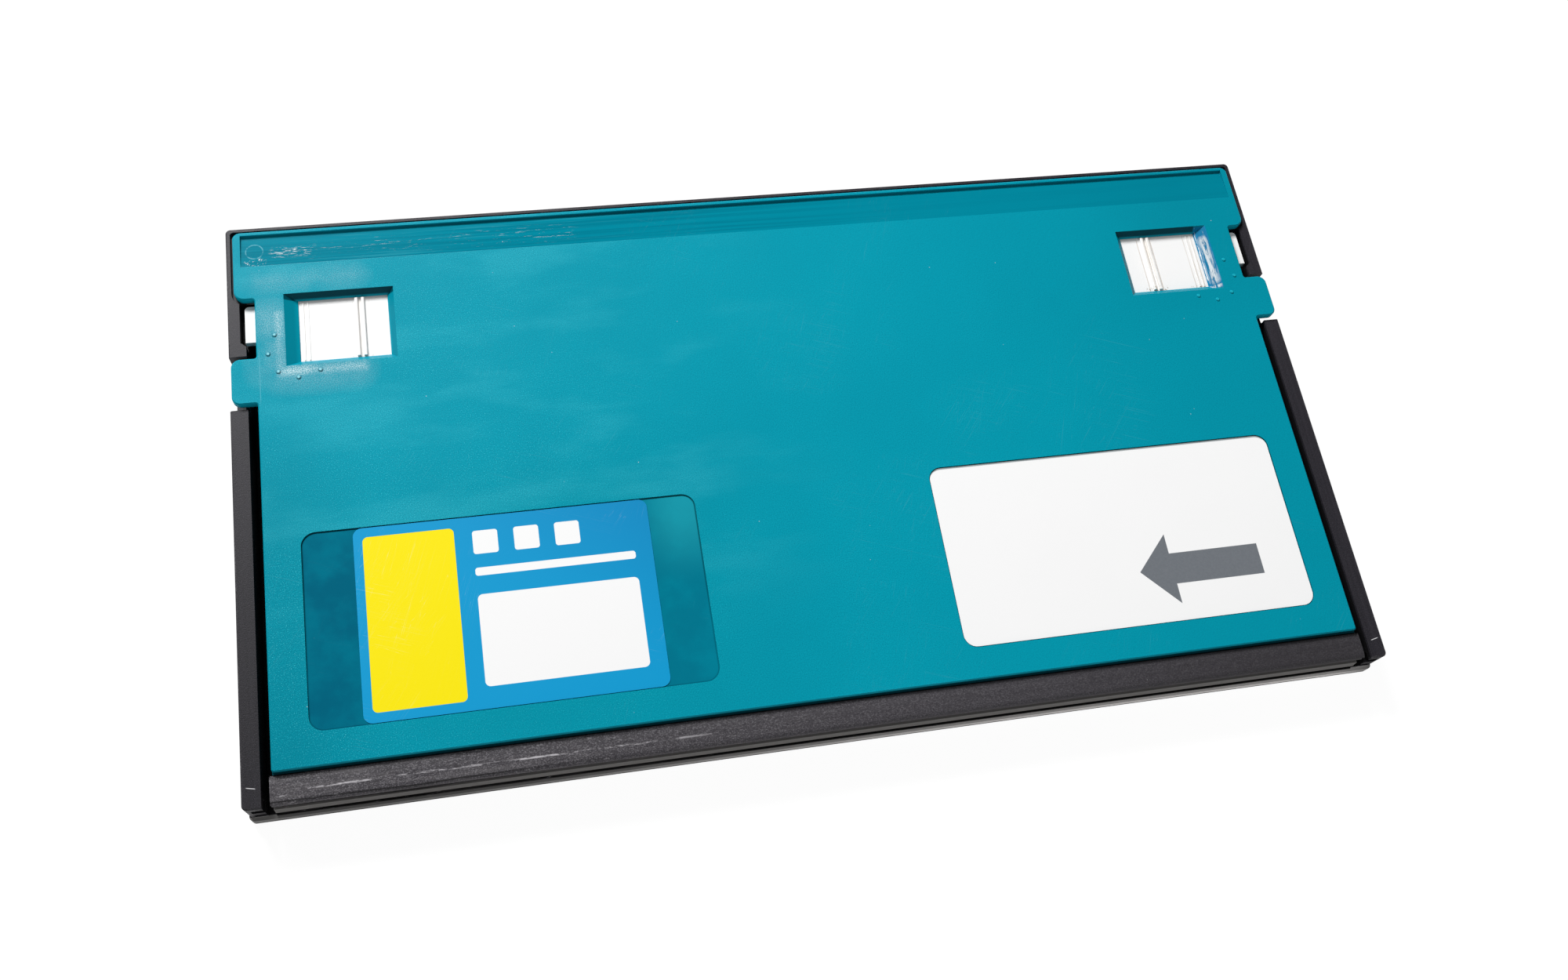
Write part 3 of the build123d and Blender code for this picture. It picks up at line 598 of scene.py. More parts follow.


# %% Teal: bumps and edges, with painted light and shade, and dirt
def bump_light_and_shade(place, x, y, z, flat, colour):
    """Painted light and shade on the small round bumps by the windows: painted highlights on the
    crowns on the left, lighter domes on the right, and a painted shadow round the foot on the left.
    """
    nearest = None
    either_half = stretched(place.vector("ABSOLUTE"), 1.0, 1.0, 0.0)
    for bump_x, bump_y in BUMPS:
        reach = (either_half - (bump_x, bump_y, 0.0)).length()
        nearest = reach if nearest is None else nearest & reach
    nearest = nearest + y.ramp(5.0, 0.0) * 9.0
    # Painted highlight on the crowns.
    crown = nearest.ramp(0.45, 0.25) * z.ramp(15.2, 15.28) * x.ramp(0.0, -20.0)
    colour = mix(crown * 0.55, colour, (0.42, 0.88, 0.95))
    # Painted light that lifts the shaded sides of the bumps on the right.
    dome = nearest.ramp(0.62, 0.4) * flat * x.ramp(0.0, 20.0)
    colour = mix(dome * 0.5, colour, (0.02, 0.50, 0.60))
    # Painted shadow round the foot of each bump on the left.
    foot = abs(nearest - 0.7).ramp(0.16, 0.04) * flat * x.ramp(10.0, -10.0)
    return mix(foot * 0.45, colour, (0.0, 0.06, 0.09))


def cover_edges(place, x, y, z, top, colour):
    """Painted shade on the cover's sides down in their gaps, a crease by the left ear, hairs and
    dust.
    """
    side_gap = abs(x).ramp(155.7, 156.1) * y.ramp(27.0, 26.0)
    # Painted shade: the cover's near side and its sides by the ears darkened where they sit down in
    # their gaps.
    gap_shade = (y.ramp(-78.2, -78.6) | side_gap) * z.ramp(14.6, 14.2)
    colour = mix(gap_shade * 0.8, colour, (0.0, 0.014, 0.02))
    crease = abs(x + 155.2).ramp(0.22, 0.05) * y.ramp(27.0, 31.0) * y.ramp(48.0, 42.0)
    colour = mix(crease * top * 0.15, colour, (0.34, 0.748, 0.843))
    colour = scratched(place, colour, top * 0.03, (0.408, 0.816, 0.925))
    return dusty(place, colour, top * 0.6, DUST_WHITE)


# %% Teal: windows and label recesses
def ramp_smear_and_reflection(place, z, colour):
    """Painted reflection on the right window's ramp: a blue gloss over the face and white streaks,
    which the bump also raises as smears. Returns the colour and the streaks.
    """
    ramp_face = box(place, 143.9, 147.9, 40.4, 63.6, soft=0.3) * z.ramp(12.6, 12.9)
    smear_and_reflection = streaky(place, 1.5, 0.11, 0.2, detail=6.0, roughness=0.7)
    middle = box(place, 145.0, 147.2, 42.5, 60.0, 1.0, 1.6)
    thin = box(place, 144.1, 144.5, 44.0, 62.5, 0.1, 0.3)
    thin = thin | box(place, 144.0, 147.8, 40.6, 41.6, 0.2, 0.6)
    # Painted reflection: white streaks along the ramp, which the bump also raises.
    streaks = smear_and_reflection.ramp(0.44, 0.52) * middle | smear_and_reflection.ramp(0.48, 0.55) * thin
    smear_and_reflection = (streaks | smear_and_reflection.ramp(0.60, 0.66)) * ramp_face
    # Painted reflection: a deep blue gloss over the ramp face.
    colour = mix(ramp_face * 0.8, colour, (0.0, 0.177, 0.408))
    return mix(smear_and_reflection * 0.9, colour, (0.90, 0.94, 0.95)), smear_and_reflection


def window_wall_shade(place, x, y, z, top, colour):
    """Painted shade on the walls of the latch windows, deepest on the far ones, which face away
    from the light.
    """
    # Painted shade on the window walls, and deeper on the far walls.
    wall_shade = pair(place, *WINDOW, soft=0.2) * z.ramp(14.98, 14.9) * top
    colour = mix(wall_shade * 0.25, colour, (0.0, 0.068, 0.109))
    far_wall_shade = wall_shade * y.ramp(61.9, 62.3) * x.ramp(144.0, 143.7)
    return mix(far_wall_shade * 0.85, colour, (0.0, 0.027, 0.041))


def label_recesses(place, x, y, z, top, colour):
    """Painted shade on the smooth floors, deepest at the left, a painted reflection near the far
    right of the left floor, and a painted shadow line along the wall round them.
    """
    outer = pair(place, *grown(RECESS, 0.1), RECESS_CORNER + 0.1)
    inner = pair(place, *grown(RECESS, -0.4), RECESS_CORNER - 0.4)
    # Painted shadow line along the recess walls.
    line = (outer - inner | 0.0) * z.ramp(14.99, 14.93) * top
    recess = pair(place, *RECESS, RECESS_CORNER) * z.ramp(14.95, 14.8) * top
    # Painted shade on the recess floors, deepest at the left.
    recess_shade = noise(place, 0.09, detail=5.0).ramp(0.3, 0.62) * 0.3 + 0.7
    recess_shade = (x.ramp(-30.0, -140.0) * 0.3 + 0.6) * recess_shade
    colour = mix(recess * recess_shade, colour, (0.0008, 0.102, 0.177))
    # Painted reflection near the far right of the left recess.
    recess_reflection = recess * x.ramp(-56.0, -40.0) * x.ramp(0.0, -10.0) * y.ramp(-42.0, -18.0)
    colour = mix(recess_reflection * 0.45, colour, (0.02, 0.42, 0.50))
    shadow_line_depth = y.ramp(-60.0, -20.0) * 0.35 + 0.3
    return mix(line * shadow_line_depth, colour, (0.0, 0.030, 0.040)), recess


# %% Teal cover
def teal_plastic():
    """All the cover's marks on one material, with smooth and grained places."""
    parts = new_material("teal_plastic")
    place, x, y, z = millimetres(parts[1])
    top, flat = z.ramp(13.0, 13.6), z.ramp(14.9, 14.97)
    strip = box(place, *STRIP, soft=0.2) * z.ramp(13.6, 13.9)
    sparkle = noise(place, 3.4, detail=2.0, roughness=0.8).ramp(0.47, 0.60)
    bits = adhesive_bits(place, strip)

    colour = strip_shade_and_rubbing(place, x, strip, teal_with_painted_shade(place, x, y))
    colour = ring_mark(place, strip, mix(bits, colour, (0.88, 0.94, 0.95)))
    colour = painted_sheen(place, sparkle, flat, colour)
    colour = wiped_smudges(place, x, y, sparkle, flat, colour)
    colour = grain_sparkle(place, x, flat, colour)
    colour = bump_light_and_shade(place, x, y, z, flat, colour)
    colour = cover_edges(place, x, y, z, top, colour)
    colour, smear_and_reflection = ramp_smear_and_reflection(place, z, colour)
    colour = window_wall_shade(place, x, y, z, top, colour)
    colour, recess = label_recesses(place, x, y, z, top, colour)

    grain = use(grain_group, place)[0]
    smooth = (strip | recess) & 1.0
    roughness = (grain * 0.10 + 0.34) * (strip * -0.62 + 1.0) * (recess * -0.35 + 1.0)
    height = grain * (smooth * -0.8 + 1.0) + bits * 0.5 + smear_and_reflection
    normal = bump(height, 0.6, 0.00006)
    return finish_material(parts, colour, roughness, normal, Specular_IOR_Level=0.05)


dress(teal_plastic(), "rear_cover")

# %% [markdown]
# ## Black frame and hinge
#
# The frame is a black moulding, worn pale along its edges, with painted light on the pale
# lip below the hinge. The two hinge strips were extruded, so their marks run lengthwise, and
# years of sliding in and out of a machine have greyed the left end. Noise stretched along X
# gives such lines at any length, which a drawn line can't.


# %% Frame: plastic and specks
def frame_black(place, x, y, streaks):
    """Black with soft streaks and grey specks, darker along the near left rail."""
    colour = mix(streaks, (0.012, 0.012, 0.015), (0.029, 0.026, 0.034))
    left_rail = x.ramp(-150.0, -158.0) * y.ramp(40.0, -60.0)
    colour = mix(left_rail * 0.35, colour, (0.006, 0.006, 0.007))
    speck = noise(place, 4.6, detail=2.0, roughness=0.75)
    colour = mix(speck.ramp(0.50, 0.68) * 0.4, colour, (0.095, 0.087, 0.109))
    return mix(speck.ramp(0.46, 0.32) * 0.4, colour, (0.0068, 0.0068, 0.0082))


# %% Frame: painted shade inside, worn edges, nicks and painted light on the lip
def frame_inside_shade(x, y, z, colour):
    """Painted shade on the walls inside the frame, where little light reaches."""
    inside = abs(x).ramp(162.8, 162.0) & abs(y - 0.2).ramp(87.9, 87.2)
    return mix(z.ramp(12.9, 12.4) * inside * 0.85, colour, (0.0027, 0.0027, 0.0027))


def edge_wear(place, x, y, z):
    """Where the frame's top edges are rubbed: wide patches broken by fine noise."""
    edge = (abs(x).ramp(163.3, 163.9) | abs(y - 0.5).ramp(87.4, 87.9)) * z.ramp(12.6, 13.2)
    patches = noise(place, 0.12, detail=3.0).ramp(0.42, 0.62)
    return edge * (patches * noise(place, 1.3, detail=4.0, roughness=0.8).ramp(0.48, 0.62))


def corner_nicks(x, y, z, colour):
    """A short pale cut across each rail, near the hinge."""
    nick = abs(y + 81.9 - (abs(x) - 161.5) * 0.22).ramp(0.15, 0.04)
    nick = nick * abs(x).ramp(160.2, 160.6) * abs(x).ramp(162.9, 162.3)
    nick = nick * z.ramp(13.3, 13.4) * y.ramp(-80.0, -80.5) * y.ramp(-84.0, -83.5)
    return mix(nick * 0.9, colour, (0.748, 0.748, 0.762))


def lip_painted_light(x, y, z, streaks, colour):
    """Painted light on the lip below the hinge: grey on the left and almost white on the right."""
    # Painted light: the lip is drawn pale, more so to the right.
    lip = y.ramp(-87.2, -87.5) * z.ramp(3.7, 3.5) * z.ramp(0.5, 0.9)
    whiter = x.ramp(-120.0, 90.0) * x.ramp(168.0, 150.0)
    pale = mix(whiter, (0.26, 0.255, 0.25), (0.95, 0.92, 0.90))
    return mix(lip * (streaks * 0.15 + 0.85), colour, pale)


# %% Frame plastic
def black_plastic():
    parts = new_material("black_plastic")
    place, x, y, z = millimetres(parts[1])
    streaks = streaky(place, 1.0, 0.03, 0.3, detail=4.0)
    wear = edge_wear(place, x, y, z)
    colour = frame_inside_shade(x, y, z, frame_black(place, x, y, streaks))
    colour = mix(wear * 0.45, colour, (0.204, 0.197, 0.211))
    colour = lip_painted_light(x, y, z, streaks, corner_nicks(x, y, z, colour))
    colour = scratched(place, colour, 0.1, (0.163, 0.163, 0.17))
    colour = dusty(place, colour, 0.5, DUST_GREY)
    normal = bump(use(grain_group, place)[0] + wear, 0.3, 0.0001)
    return finish_material(parts, colour, streaks * 0.15 + 0.42, normal, Specular_IOR_Level=0.3)


dress(black_plastic(), "base_frame")


# %% Hinge: extruded lines, with painted shade and reflection on the near face
def extruded_grey(x, y, z, lines, fine, speck):
    """Fine lines, specks that grow towards the left, painted shade on the near face below the
    groove, and a pale band just under the groove painted as reflected light.
    """
    colour = mix(lines * 0.5 + fine * 0.5, (0.033, 0.031, 0.036), (0.080, 0.074, 0.084))
    pale_specks = speck.ramp(0.50, 0.66) * (x.ramp(60.0, -120.0) * 0.30 + 0.18)
    colour = mix(pale_specks, colour, (0.299, 0.286, 0.306))
    colour = mix(speck.ramp(0.46, 0.34) * 0.5, colour, (0.014, 0.012, 0.015))
    colour = mix(x.ramp(20.0, 150.0) * 0.5, colour, (0.022, 0.02, 0.023))
    # Painted shade on the near face below the groove.
    groove_shade = z.ramp(8.35, 8.25) * y.ramp(-86.0, -86.4)
    colour = mix(groove_shade, colour, (0.0054, 0.0054, 0.0054))
    # Painted reflection: a pale band just under the groove.
    band_reflection = groove_shade * z.ramp(5.2, 5.6) * (lines * 0.6 + 0.5)
    return mix(band_reflection, colour, (0.204, 0.197, 0.19))


# %% Hinge: rubbed left end
def rubbed_left_end(place, x, y, speck, colour):
    """Grey rubbing, a dark wavy line, scuffs and one long broken scrape."""
    left = x.ramp(40.0, -150.0)
    rub = streaky(place, 0.05, 0.7, 0.7, detail=6.0, roughness=0.7)
    colour = mix(left * rub.ramp(0.44, 0.68) * 0.25, colour, (0.231, 0.218, 0.224))
    wave = streaky(place, 0.02, 0.0, 0.0, detail=2.0) * 1.6
    dark = abs(y + 85.6 + wave).ramp(0.35, 0.1) * x.ramp(-60.0, -110.0)
    colour = mix(dark * 0.7, colour, (0.0082, 0.0082, 0.0082))
    scuff = streaky(place, 0.22, 1.1, 1.1, detail=5.0, roughness=0.7)
    scuff = scuff.ramp(0.60, 0.70) * left * (speck.ramp(0.4, 0.6) * 0.5 + 0.2)
    colour = mix(scuff, colour, (0.517, 0.503, 0.53))
    scrape = streaky(place, 0.12, 0.6, 0.6, detail=5.0, roughness=0.8)
    scrape = scrape.ramp(0.48, 0.60) * abs(y + 83.7).ramp(0.40, 0.08) * x.ramp(-20.0, -70.0)
    return mix(scrape * 0.75, colour, (0.62, 0.60, 0.63))


# %% Hinge plastic
def spine_plastic():
    parts = new_material("spine_plastic")
    place, x, y, z = millimetres(parts[1])
    lines = streaky(place, 0.006, 1.6, 1.6, detail=5.0, roughness=0.65)
    fine = streaky(place, 0.05, 4.0, 4.0, detail=3.0)
    speck = noise(stretched(place, 0.7, 1.0, 1.0), 3.2, detail=2.0, roughness=0.75)
    colour = extruded_grey(x, y, z, lines, fine, speck)
    colour = rubbed_left_end(place, x, y, speck, colour)
    colour = dusty(place, colour, 0.6, DUST_GREY)
    normal = bump(lines * 0.7 + fine * 0.3, 0.35, 0.0002)
    return finish_material(parts, colour, lines * 0.2 + 0.34, normal, Specular_IOR_Level=0.3)


dress(spine_plastic(), "hinge_base_leaf", "hinge_cover_leaf")


# %% [markdown]
# ## Latches
#
# Each latch is a smooth white slider with two thumb ridges. Thumbs have left a tan tint
# along the ridges and dark crumbs at their near ends, more of both on the right one. The
# ridges are in the solid already, so only the dirt is made here, from distances to them.


# %% Latch dirt
LEFT_AND_RIGHT_LINES = ((123.6, 0.25), (126.1, 0.3), (128.3, 0.25))
RIGHT_LINES = ((139.9, 0.2), (141.4, 0.25), (142.9, 0.2))


def thin_lines(distance, lines):
    """Soft lines at the given distances, each with its half width, in millimetres."""
    found = None
    for middle, half_width in lines:
        line = abs(distance - middle).ramp(half_width, 0.05)
        found = line if found is None else found | line
    return found


# %% White latches
def white_plastic():
    parts = new_material("white_plastic")
    place, x, y, z = millimetres(parts[1])
    colour = mix(noise(place, 0.15), (0.94, 0.94, 0.935), (0.96, 0.96, 0.955))
    grip = abs(abs(x) - 126.2).ramp(2.4, 0.4) | abs(abs(x) - 142.0).ramp(1.6, 0.4)
    worn = streaky(place, 1.5, 0.05, detail=3.0).ramp(0.35, 0.6)
    tan = grip * worn * (x.ramp(-10.0, 10.0) * 0.25 + 0.2)
    colour = mix(tan, colour, (0.76, 0.68, 0.58))
    lines = thin_lines(abs(x), LEFT_AND_RIGHT_LINES) | thin_lines(x, RIGHT_LINES)
    lines = lines * z.ramp(12.3, 12.5) * y.ramp(63.0, 60.0)
    right_side = x.ramp(-10.0, 10.0) * 0.75 + 0.25
    colour = mix(lines * right_side * (worn * 0.5 + 0.35), colour, (0.60, 0.52, 0.44))
    crumbs = noise(place, 1.1, detail=4.0, roughness=0.7).ramp(0.52, 0.6)
    near_ends = pair(place, 122.5, 130.0, 41.7, 43.4, 0.5, 0.6)
    near_ends = near_ends | box(place, 138.0, 143.8, 41.7, 42.8, 0.4, 0.5)
    colour = mix(crumbs * near_ends * right_side * 0.8, colour, (0.30, 0.22, 0.14))
    return finish_material(parts, colour, 0.32, bump(noise(place, 0.8), 0.05, 0.0002))


dress(white_plastic(), "latch_slider_left", "latch_slider_right")

# %% [markdown]
# ## Labels
#
# Both labels are printed and matt, and lie in their recesses. The prints are plain shapes,
# so rounded boxes give sharp edges at every distance, where an image would blur. The left
# one is a blue and yellow design with blank panels to write on, the right one is white with
# an arrow. Neither has any lettering.


# %% Label paper
def label_paper(parts, place, colour, hair_colour):
    """Hair scratches, a little fibre and a matt finish over a print."""
    colour = scratched(place, colour, 0.12, hair_colour)
    fibre = noise(place, 2.2, detail=3.0)
    normal = bump(fibre, 0.06, 0.0001)
    return finish_material(parts, colour, fibre * 0.08 + 0.42, normal, Specular_IOR_Level=0.15)


# %% Left label
WRITING_PANEL = (-99.5, -54.5, -63.0, -36.5, 1.5)
RULE = (-99.5, -54.5, -31.0, -28.6, 0.8)
TICK_BOXES = (
    (-99.5, -92.5, -24.5, -17.5, 0.8),
    (-88.0, -81.0, -24.5, -17.5, 0.8),
    (-76.5, -69.5, -24.5, -17.5, 0.8),
)


def blue_label():
    parts = new_material("blue_label")
    place, x, y, _ = millimetres(parts[1])
    shade = (x * 0.009 + y * 0.012 + 1.35).ramp(0.0, 1.0)
    colour = mix(shade, (0.0015, 0.315, 0.620), (0.001, 0.230, 0.500))
    yellow = box(place, -129.5, -104.5, -66.4, -16.0, 1.5)
    colour = mix(yellow, colour, (0.93, 0.78, 0.0))
    white = box(place, *WRITING_PANEL)
    for area in (RULE, *TICK_BOXES):
        white = white | box(place, *area)
    colour = mix(white & 1.0, colour, (0.92, 0.92, 0.92))
    return label_paper(parts, place, colour, (0.816, 0.95, 0.95))


dress(blue_label(), "info_label")


# %% Right label
def white_label():
    parts = new_material("white_label")
    place, x, y, _ = millimetres(parts[1])
    shaft = box(place, 103.6, 132.5, -57.8, -48.2, soft=0.15)
    head = (abs(y + 53.0) - (x - 93.5) * 1.048).ramp(0.1, -0.1) * x.ramp(104.08, 103.92)
    ink = mix(noise(place, 1.6, detail=2.0), (0.145, 0.160, 0.180), (0.185, 0.200, 0.220))
    paper = mix(noise(place, 0.05), (0.93, 0.93, 0.93), (0.95, 0.95, 0.95))
    colour = mix((shaft | head) & 1.0, paper, ink)
    wall_shadow = box(place, 35.3, 146.2, -90.0, -13.6, 4.2, 0.3) * -1.0 + 1.0
    colour = mix(wall_shadow * 0.75, colour, (0.01, 0.07, 0.08))
    return label_paper(parts, place, colour, (0.95, 0.95, 0.95))


dress(white_label(), "arrow_label")


# %% [markdown]
# ## Inside and underside
#
# Plates, screens and guides show when the cover swings open or the cassette is turned
# over. The photograph doesn't show them, so they get quiet finishes with a fine texture.


# %% Plain inner materials
def plain(name, dark, light, scale, roughness, strength, metallic=0.0):
    """A material with one even texture: two shades and a bump of the same scale."""
    parts = new_material(name)
    place = millimetres(parts[1])[0]
    texture = noise(place, scale, detail=5.0, roughness=0.65)
    colour = scratched(place, mix(texture, dark, light), 0.06, (0.5, 0.5, 0.5))
    normal = bump(texture, strength, 0.0002)
    return finish_material(parts, colour, texture * 0.15 + roughness, normal, Metallic=metallic)


# %% [markdown]
# ## Foam and felt
#
# Cut foam bulges at its sides when plates press it, and felt strips are flat below and
# crowned above. Cloth simulation would do little here, as both are thin, glued and
# clamped, so the meshes are made from rings of points with small even offsets. Both
# keep inside the room of the solids that they replace.


# %% Soft pieces
def new_piece(name, mesh, material, node):
    """A piece that stands for a node and rides on its body."""
    mesh.materials.append(material)
    piece = add_object(name, mesh)
    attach(piece, BODY_OF[node])
    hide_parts(node)
    return piece


def soft_piece(name, material, node, rings):
    """A closed smooth mesh through rings of points that stands for a soft solid."""
    count = len(rings[0])
    points = [point for ring in rings for point in ring]
    faces = []
    for first in range(0, len(points) - count, count):
        for i in range(count):
            a, b = first + i, first + (i + 1) % count
            faces.append((a, b, b + count, a + count))
    ends = [tuple(reversed(range(count))), tuple(range(len(points) - count, len(points)))]
    mesh = bpy.data.meshes.new(name)
    mesh.from_pydata(points, [], faces + ends)
    for polygon in mesh.polygons:
        polygon.use_smooth = len(polygon.vertices) == 4
    return new_piece(name, mesh, material, node)


def drift(x, y, z, size):
    """A number from 0 to 1 that wanders evenly from place to place, in metres."""
    value = mathutils.noise.noise(Vector((x, y, z)) / size)
    return min(1.0, max(0.0, value * 0.8 + 0.5))


# %% Foam pad
FOAM_STEP, FELT_STEP, FOAM_PORE = 0.0012, 0.0015, 0.0016
CORNER_STEPS = 6


def foam_rings(low, high, corner, bulge, rough):
    """Level rings of a cut foam slab: its sides bulge, because the plates press it."""
    outline = []
    quarters = (
        (high.x - corner, high.y - corner, 0), (low.x + corner, high.y - corner, 90),
        (low.x + corner, low.y + corner, 180), (high.x - corner, low.y + corner, 270),
    )
    for centre_x, centre_y, turn in quarters:
        for step in range(CORNER_STEPS + 1):
            angle = math.radians(turn + step * 90 / CORNER_STEPS)
            normal = Vector((math.cos(angle), math.sin(angle)))
            outline.append((Vector((centre_x, centre_y)) + normal * corner, normal))
    dense = []
    for (place, normal), (after, _) in zip(outline, outline[1:] + outline[:1]):
        parts = max(1, round((after - place).length / FOAM_STEP))
        for i in range(parts):
            dense.append((place.lerp(after, i / parts), normal))
    rings = []
    for share in (0.0, 0.06, 0.2, 0.35, 0.5, 0.65, 0.8, 0.94, 1.0):
        height = low.z + (high.z - low.z) * share
        inset = bulge * (2 * share - 1) ** 2
        ring = []
        for place, normal in dense:
            away = inset + rough * drift(place.x, place.y, height, FOAM_PORE)
            ring.append((place.x - normal.x * away, place.y - normal.y * away, height))
        rings.append(ring)
    return rings


def open_cell_foam():
    """Charcoal foam: round pores of two sizes between pale struts."""
    parts = new_material("foam")
    place = millimetres(parts[1])[0]
    wall = cells(place, 1.5).ramp(0.15, 0.55) * 0.6 + cells(place, 3.1).ramp(0.1, 0.5) * 0.4
    colour = mix(wall, (0.006, 0.006, 0.007), (0.055, 0.055, 0.060))
    colour = mix(noise(place, 0.08).ramp(0.4, 0.7) * 0.3, colour, (0.03, 0.03, 0.034))
    return finish_material(parts, colour, wall * 0.1 + 0.82, bump(wall, 0.8, 0.0002))


pad_rings = foam_rings(*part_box("foam_pad"), corner=0.003, bulge=0.0007, rough=0.0003)
pad = soft_piece("foam_pad_soft", open_cell_foam(), "foam_pad", pad_rings)
print(pad.name, "faces", len(pad.data.polygons))


# %% Felt seals
def felt_rings(low, high, along, rough):
    """Rings across a felt strip, one after another along it: flat below and crowned above."""
    length = high[along] - low[along]
    across = 1 - along
    middle, half = (low[across] + high[across]) / 2, (high[across] - low[across]) / 2
    crown = [(1.0, 0.35), (0.97, 0.6), (0.85, 0.82), (0.62, 0.95), (0.3, 1.0)]
    section = [(-1.0, 0.0), (1.0, 0.0), *crown, *((-wide, share) for wide, share in crown[::-1])]
    if along == 1:
        section = [(-wide, share) for wide, share in section]
    stations = round(length / FELT_STEP)
    rings = []
    for i in range(stations + 1):
        reach = low[along] + length * i / stations
        ring = []
        for wide, share in section:
            lie = middle + half * wide
            drop = rough * drift(reach, lie, share * 0.01, 0.003) * share
            narrow = rough * drift(lie, reach, share * 0.01, 0.002) * share
            point = Vector((0.0, 0.0, low.z + (high.z - low.z) * share - drop))
            point[along] = reach
            point[across] = lie - math.copysign(narrow, wide)
            ring.append(tuple(point))
        rings.append(ring)
    return rings


def pressed_felt():
    """Black felt: fibres that lie every way, with a few paler ones."""
    parts = new_material("felt")
    place = millimetres(parts[1])[0]
    first = streaky(place, 0.7, 5.0, 3.0, detail=3.0, roughness=0.7)
    second = streaky(place, 5.0, 0.7, 3.0, detail=3.0, roughness=0.7)
    fibre = first | second
    colour = mix(fibre.ramp(0.35, 0.75), (0.004, 0.004, 0.005), (0.050, 0.050, 0.054))
    return finish_material(parts, colour, 0.92, bump(fibre, 0.8, 0.0002), Sheen_Weight=0.15)


felt = pressed_felt()
for side, along in (("far", 0), ("near", 0), ("left", 1), ("right", 1)):
    node = "light_seal_" + side
    rings = felt_rings(*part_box(node), along, rough=0.00018)
    seal = soft_piece(node + "_felt", felt, node, rings)
    print(seal.name, "faces", len(seal.data.polygons))


# %% [markdown]
# ## Screens
#
# An intensifying screen is coated card with a sealed border. One cream material with a
# duller frame drawn by a rounded box serves both.


# %% Screens
def screen_sheet():
    """Cream coated card with a fine grain and a duller sealed border."""
    parts = new_material("screen_sheet")
    place = millimetres(parts[1])[0]
    cloud = noise(place, 0.03, detail=4.0)
    colour = mix(cloud, (0.56, 0.55, 0.49), (0.61, 0.60, 0.54))
    fine = noise(place, 4.0, detail=2.0, roughness=0.7)
    colour = mix(fine.ramp(0.5, 0.7) * 0.15, colour, (0.72, 0.71, 0.66))
    border = box(place, -148.4, 148.4, -73.4, 73.4, 2.5, 0.25) * -1.0 + 1.0
    colour = mix(border * 0.6, colour, (0.40, 0.39, 0.35))
    colour = scratched(place, colour, 0.10, (0.40, 0.39, 0.36))
    roughness = border * 0.2 + fine * 0.08 + 0.26
    return finish_material(parts, colour, roughness, bump(fine, 0.1, 0.00005))


dress(screen_sheet(), "front_screen", "rear_screen")

# %% [markdown]
# ## Screws
#
# The solids' screws have plain heads. A profile turned round its axis, with a tapered
# cross cut out by a Boolean modifier, gives the same screw in the same place with its
# recess, and every screw is turned a little further, as a hand leaves them.


# %% Turned shapes and a cross
def mesh_of(shape, name):
    """The finished mesh of a bmesh."""
    mesh = bpy.data.meshes.new(name)
    shape.to_mesh(mesh)
    shape.free()
    return mesh


def lathe(profile, sides):
    """A closed mesh turned from (radius, height) pairs that start and end on the axis."""
    shape = bmesh.new()
    bottom = shape.verts.new((0, 0, profile[0][1]))
    top = shape.verts.new((0, 0, profile[-1][1]))
    rings = []
    for radius, height in profile[1:-1]:
        turns = [math.tau * i / sides for i in range(sides)]
        ring = [(radius * math.cos(a), radius * math.sin(a), height) for a in turns]
        rings.append([shape.verts.new(point) for point in ring])
    for i in range(sides):
        j = (i + 1) % sides
        shape.faces.new((bottom, rings[0][j], rings[0][i]))
        shape.faces.new((top, rings[-1][i], rings[-1][j]))
        for low, high in zip(rings, rings[1:]):
            shape.faces.new((low[i], low[j], high[j], high[i]))
    return mesh_of(shape, "lathe")


def cross_cutter(reach, width, depth):
    """A tapered cross that stands through the plane z = 0."""
    shape = bmesh.new()
    outline = [(reach, width), (width, width), (width, reach)]
    corners = []
    for turn in range(4):
        c, s = ((1, 0), (0, 1), (-1, 0), (0, -1))[turn]
        corners += [(x * c - y * s, x * s + y * c) for x, y in outline]
    above = [shape.verts.new((x, y, depth * 0.2)) for x, y in corners]
    below = [shape.verts.new((x * 0.62, y * 0.62, -depth)) for x, y in corners]
    shape.faces.new(above)
    shape.faces.new(below[::-1])
    for i in range(12):
        j = (i + 1) % 12
        shape.faces.new((above[i], below[i], below[j], above[j]))
    return mesh_of(shape, "cross")


# %% One screw
def screw_mesh(length, shaft, head, head_height):
    """A countersunk screw with its head's top at z = 0, in metres. The sizes are radii."""
    profile = [
        (0, -length), (shaft * 0.7, -length), (shaft, -length + shaft * 0.3),
        (shaft, -head_height), (head, -head * 0.06), (head, -head * 0.03),
        (head * 0.94, 0), (0, 0),
    ]
    body = add_object("screw_body", lathe(profile, 24))
    cross = cross_cutter(head * 0.62, head * 0.15, head_height * 0.6)
    cutter = add_object("screw_cutter", cross)
    cut = body.modifiers.new("cross", "BOOLEAN")
    cut.operation, cut.solver, cut.object = "DIFFERENCE", "EXACT", cutter
    bpy.context.view_layer.update()
    cut_body = body.evaluated_get(bpy.context.evaluated_depsgraph_get())
    done = bpy.data.meshes.new_from_object(cut_body)
    for item in (body, cutter):
        bpy.data.objects.remove(item)
    return done


# %% Screw places
SCREW_GAP, TURNED_FURTHER = 0.004, 0.9


def places_of(node):
    """The axis (x, y) of each screw in a node, from where its vertices gather."""
    groups = []
    for vertex in nodes[node].data.vertices:
        for group in groups:
            if (vertex.co.xy - group[0].xy).length < SCREW_GAP:
                group.append(vertex.co)
                break
        else:
            groups.append([vertex.co])
    spots = []
    for group in groups:
        xs, ys = [p.x for p in group], [p.y for p in group]
        spots.append(((min(xs) + max(xs)) / 2, (min(ys) + max(ys)) / 2))
    return spots


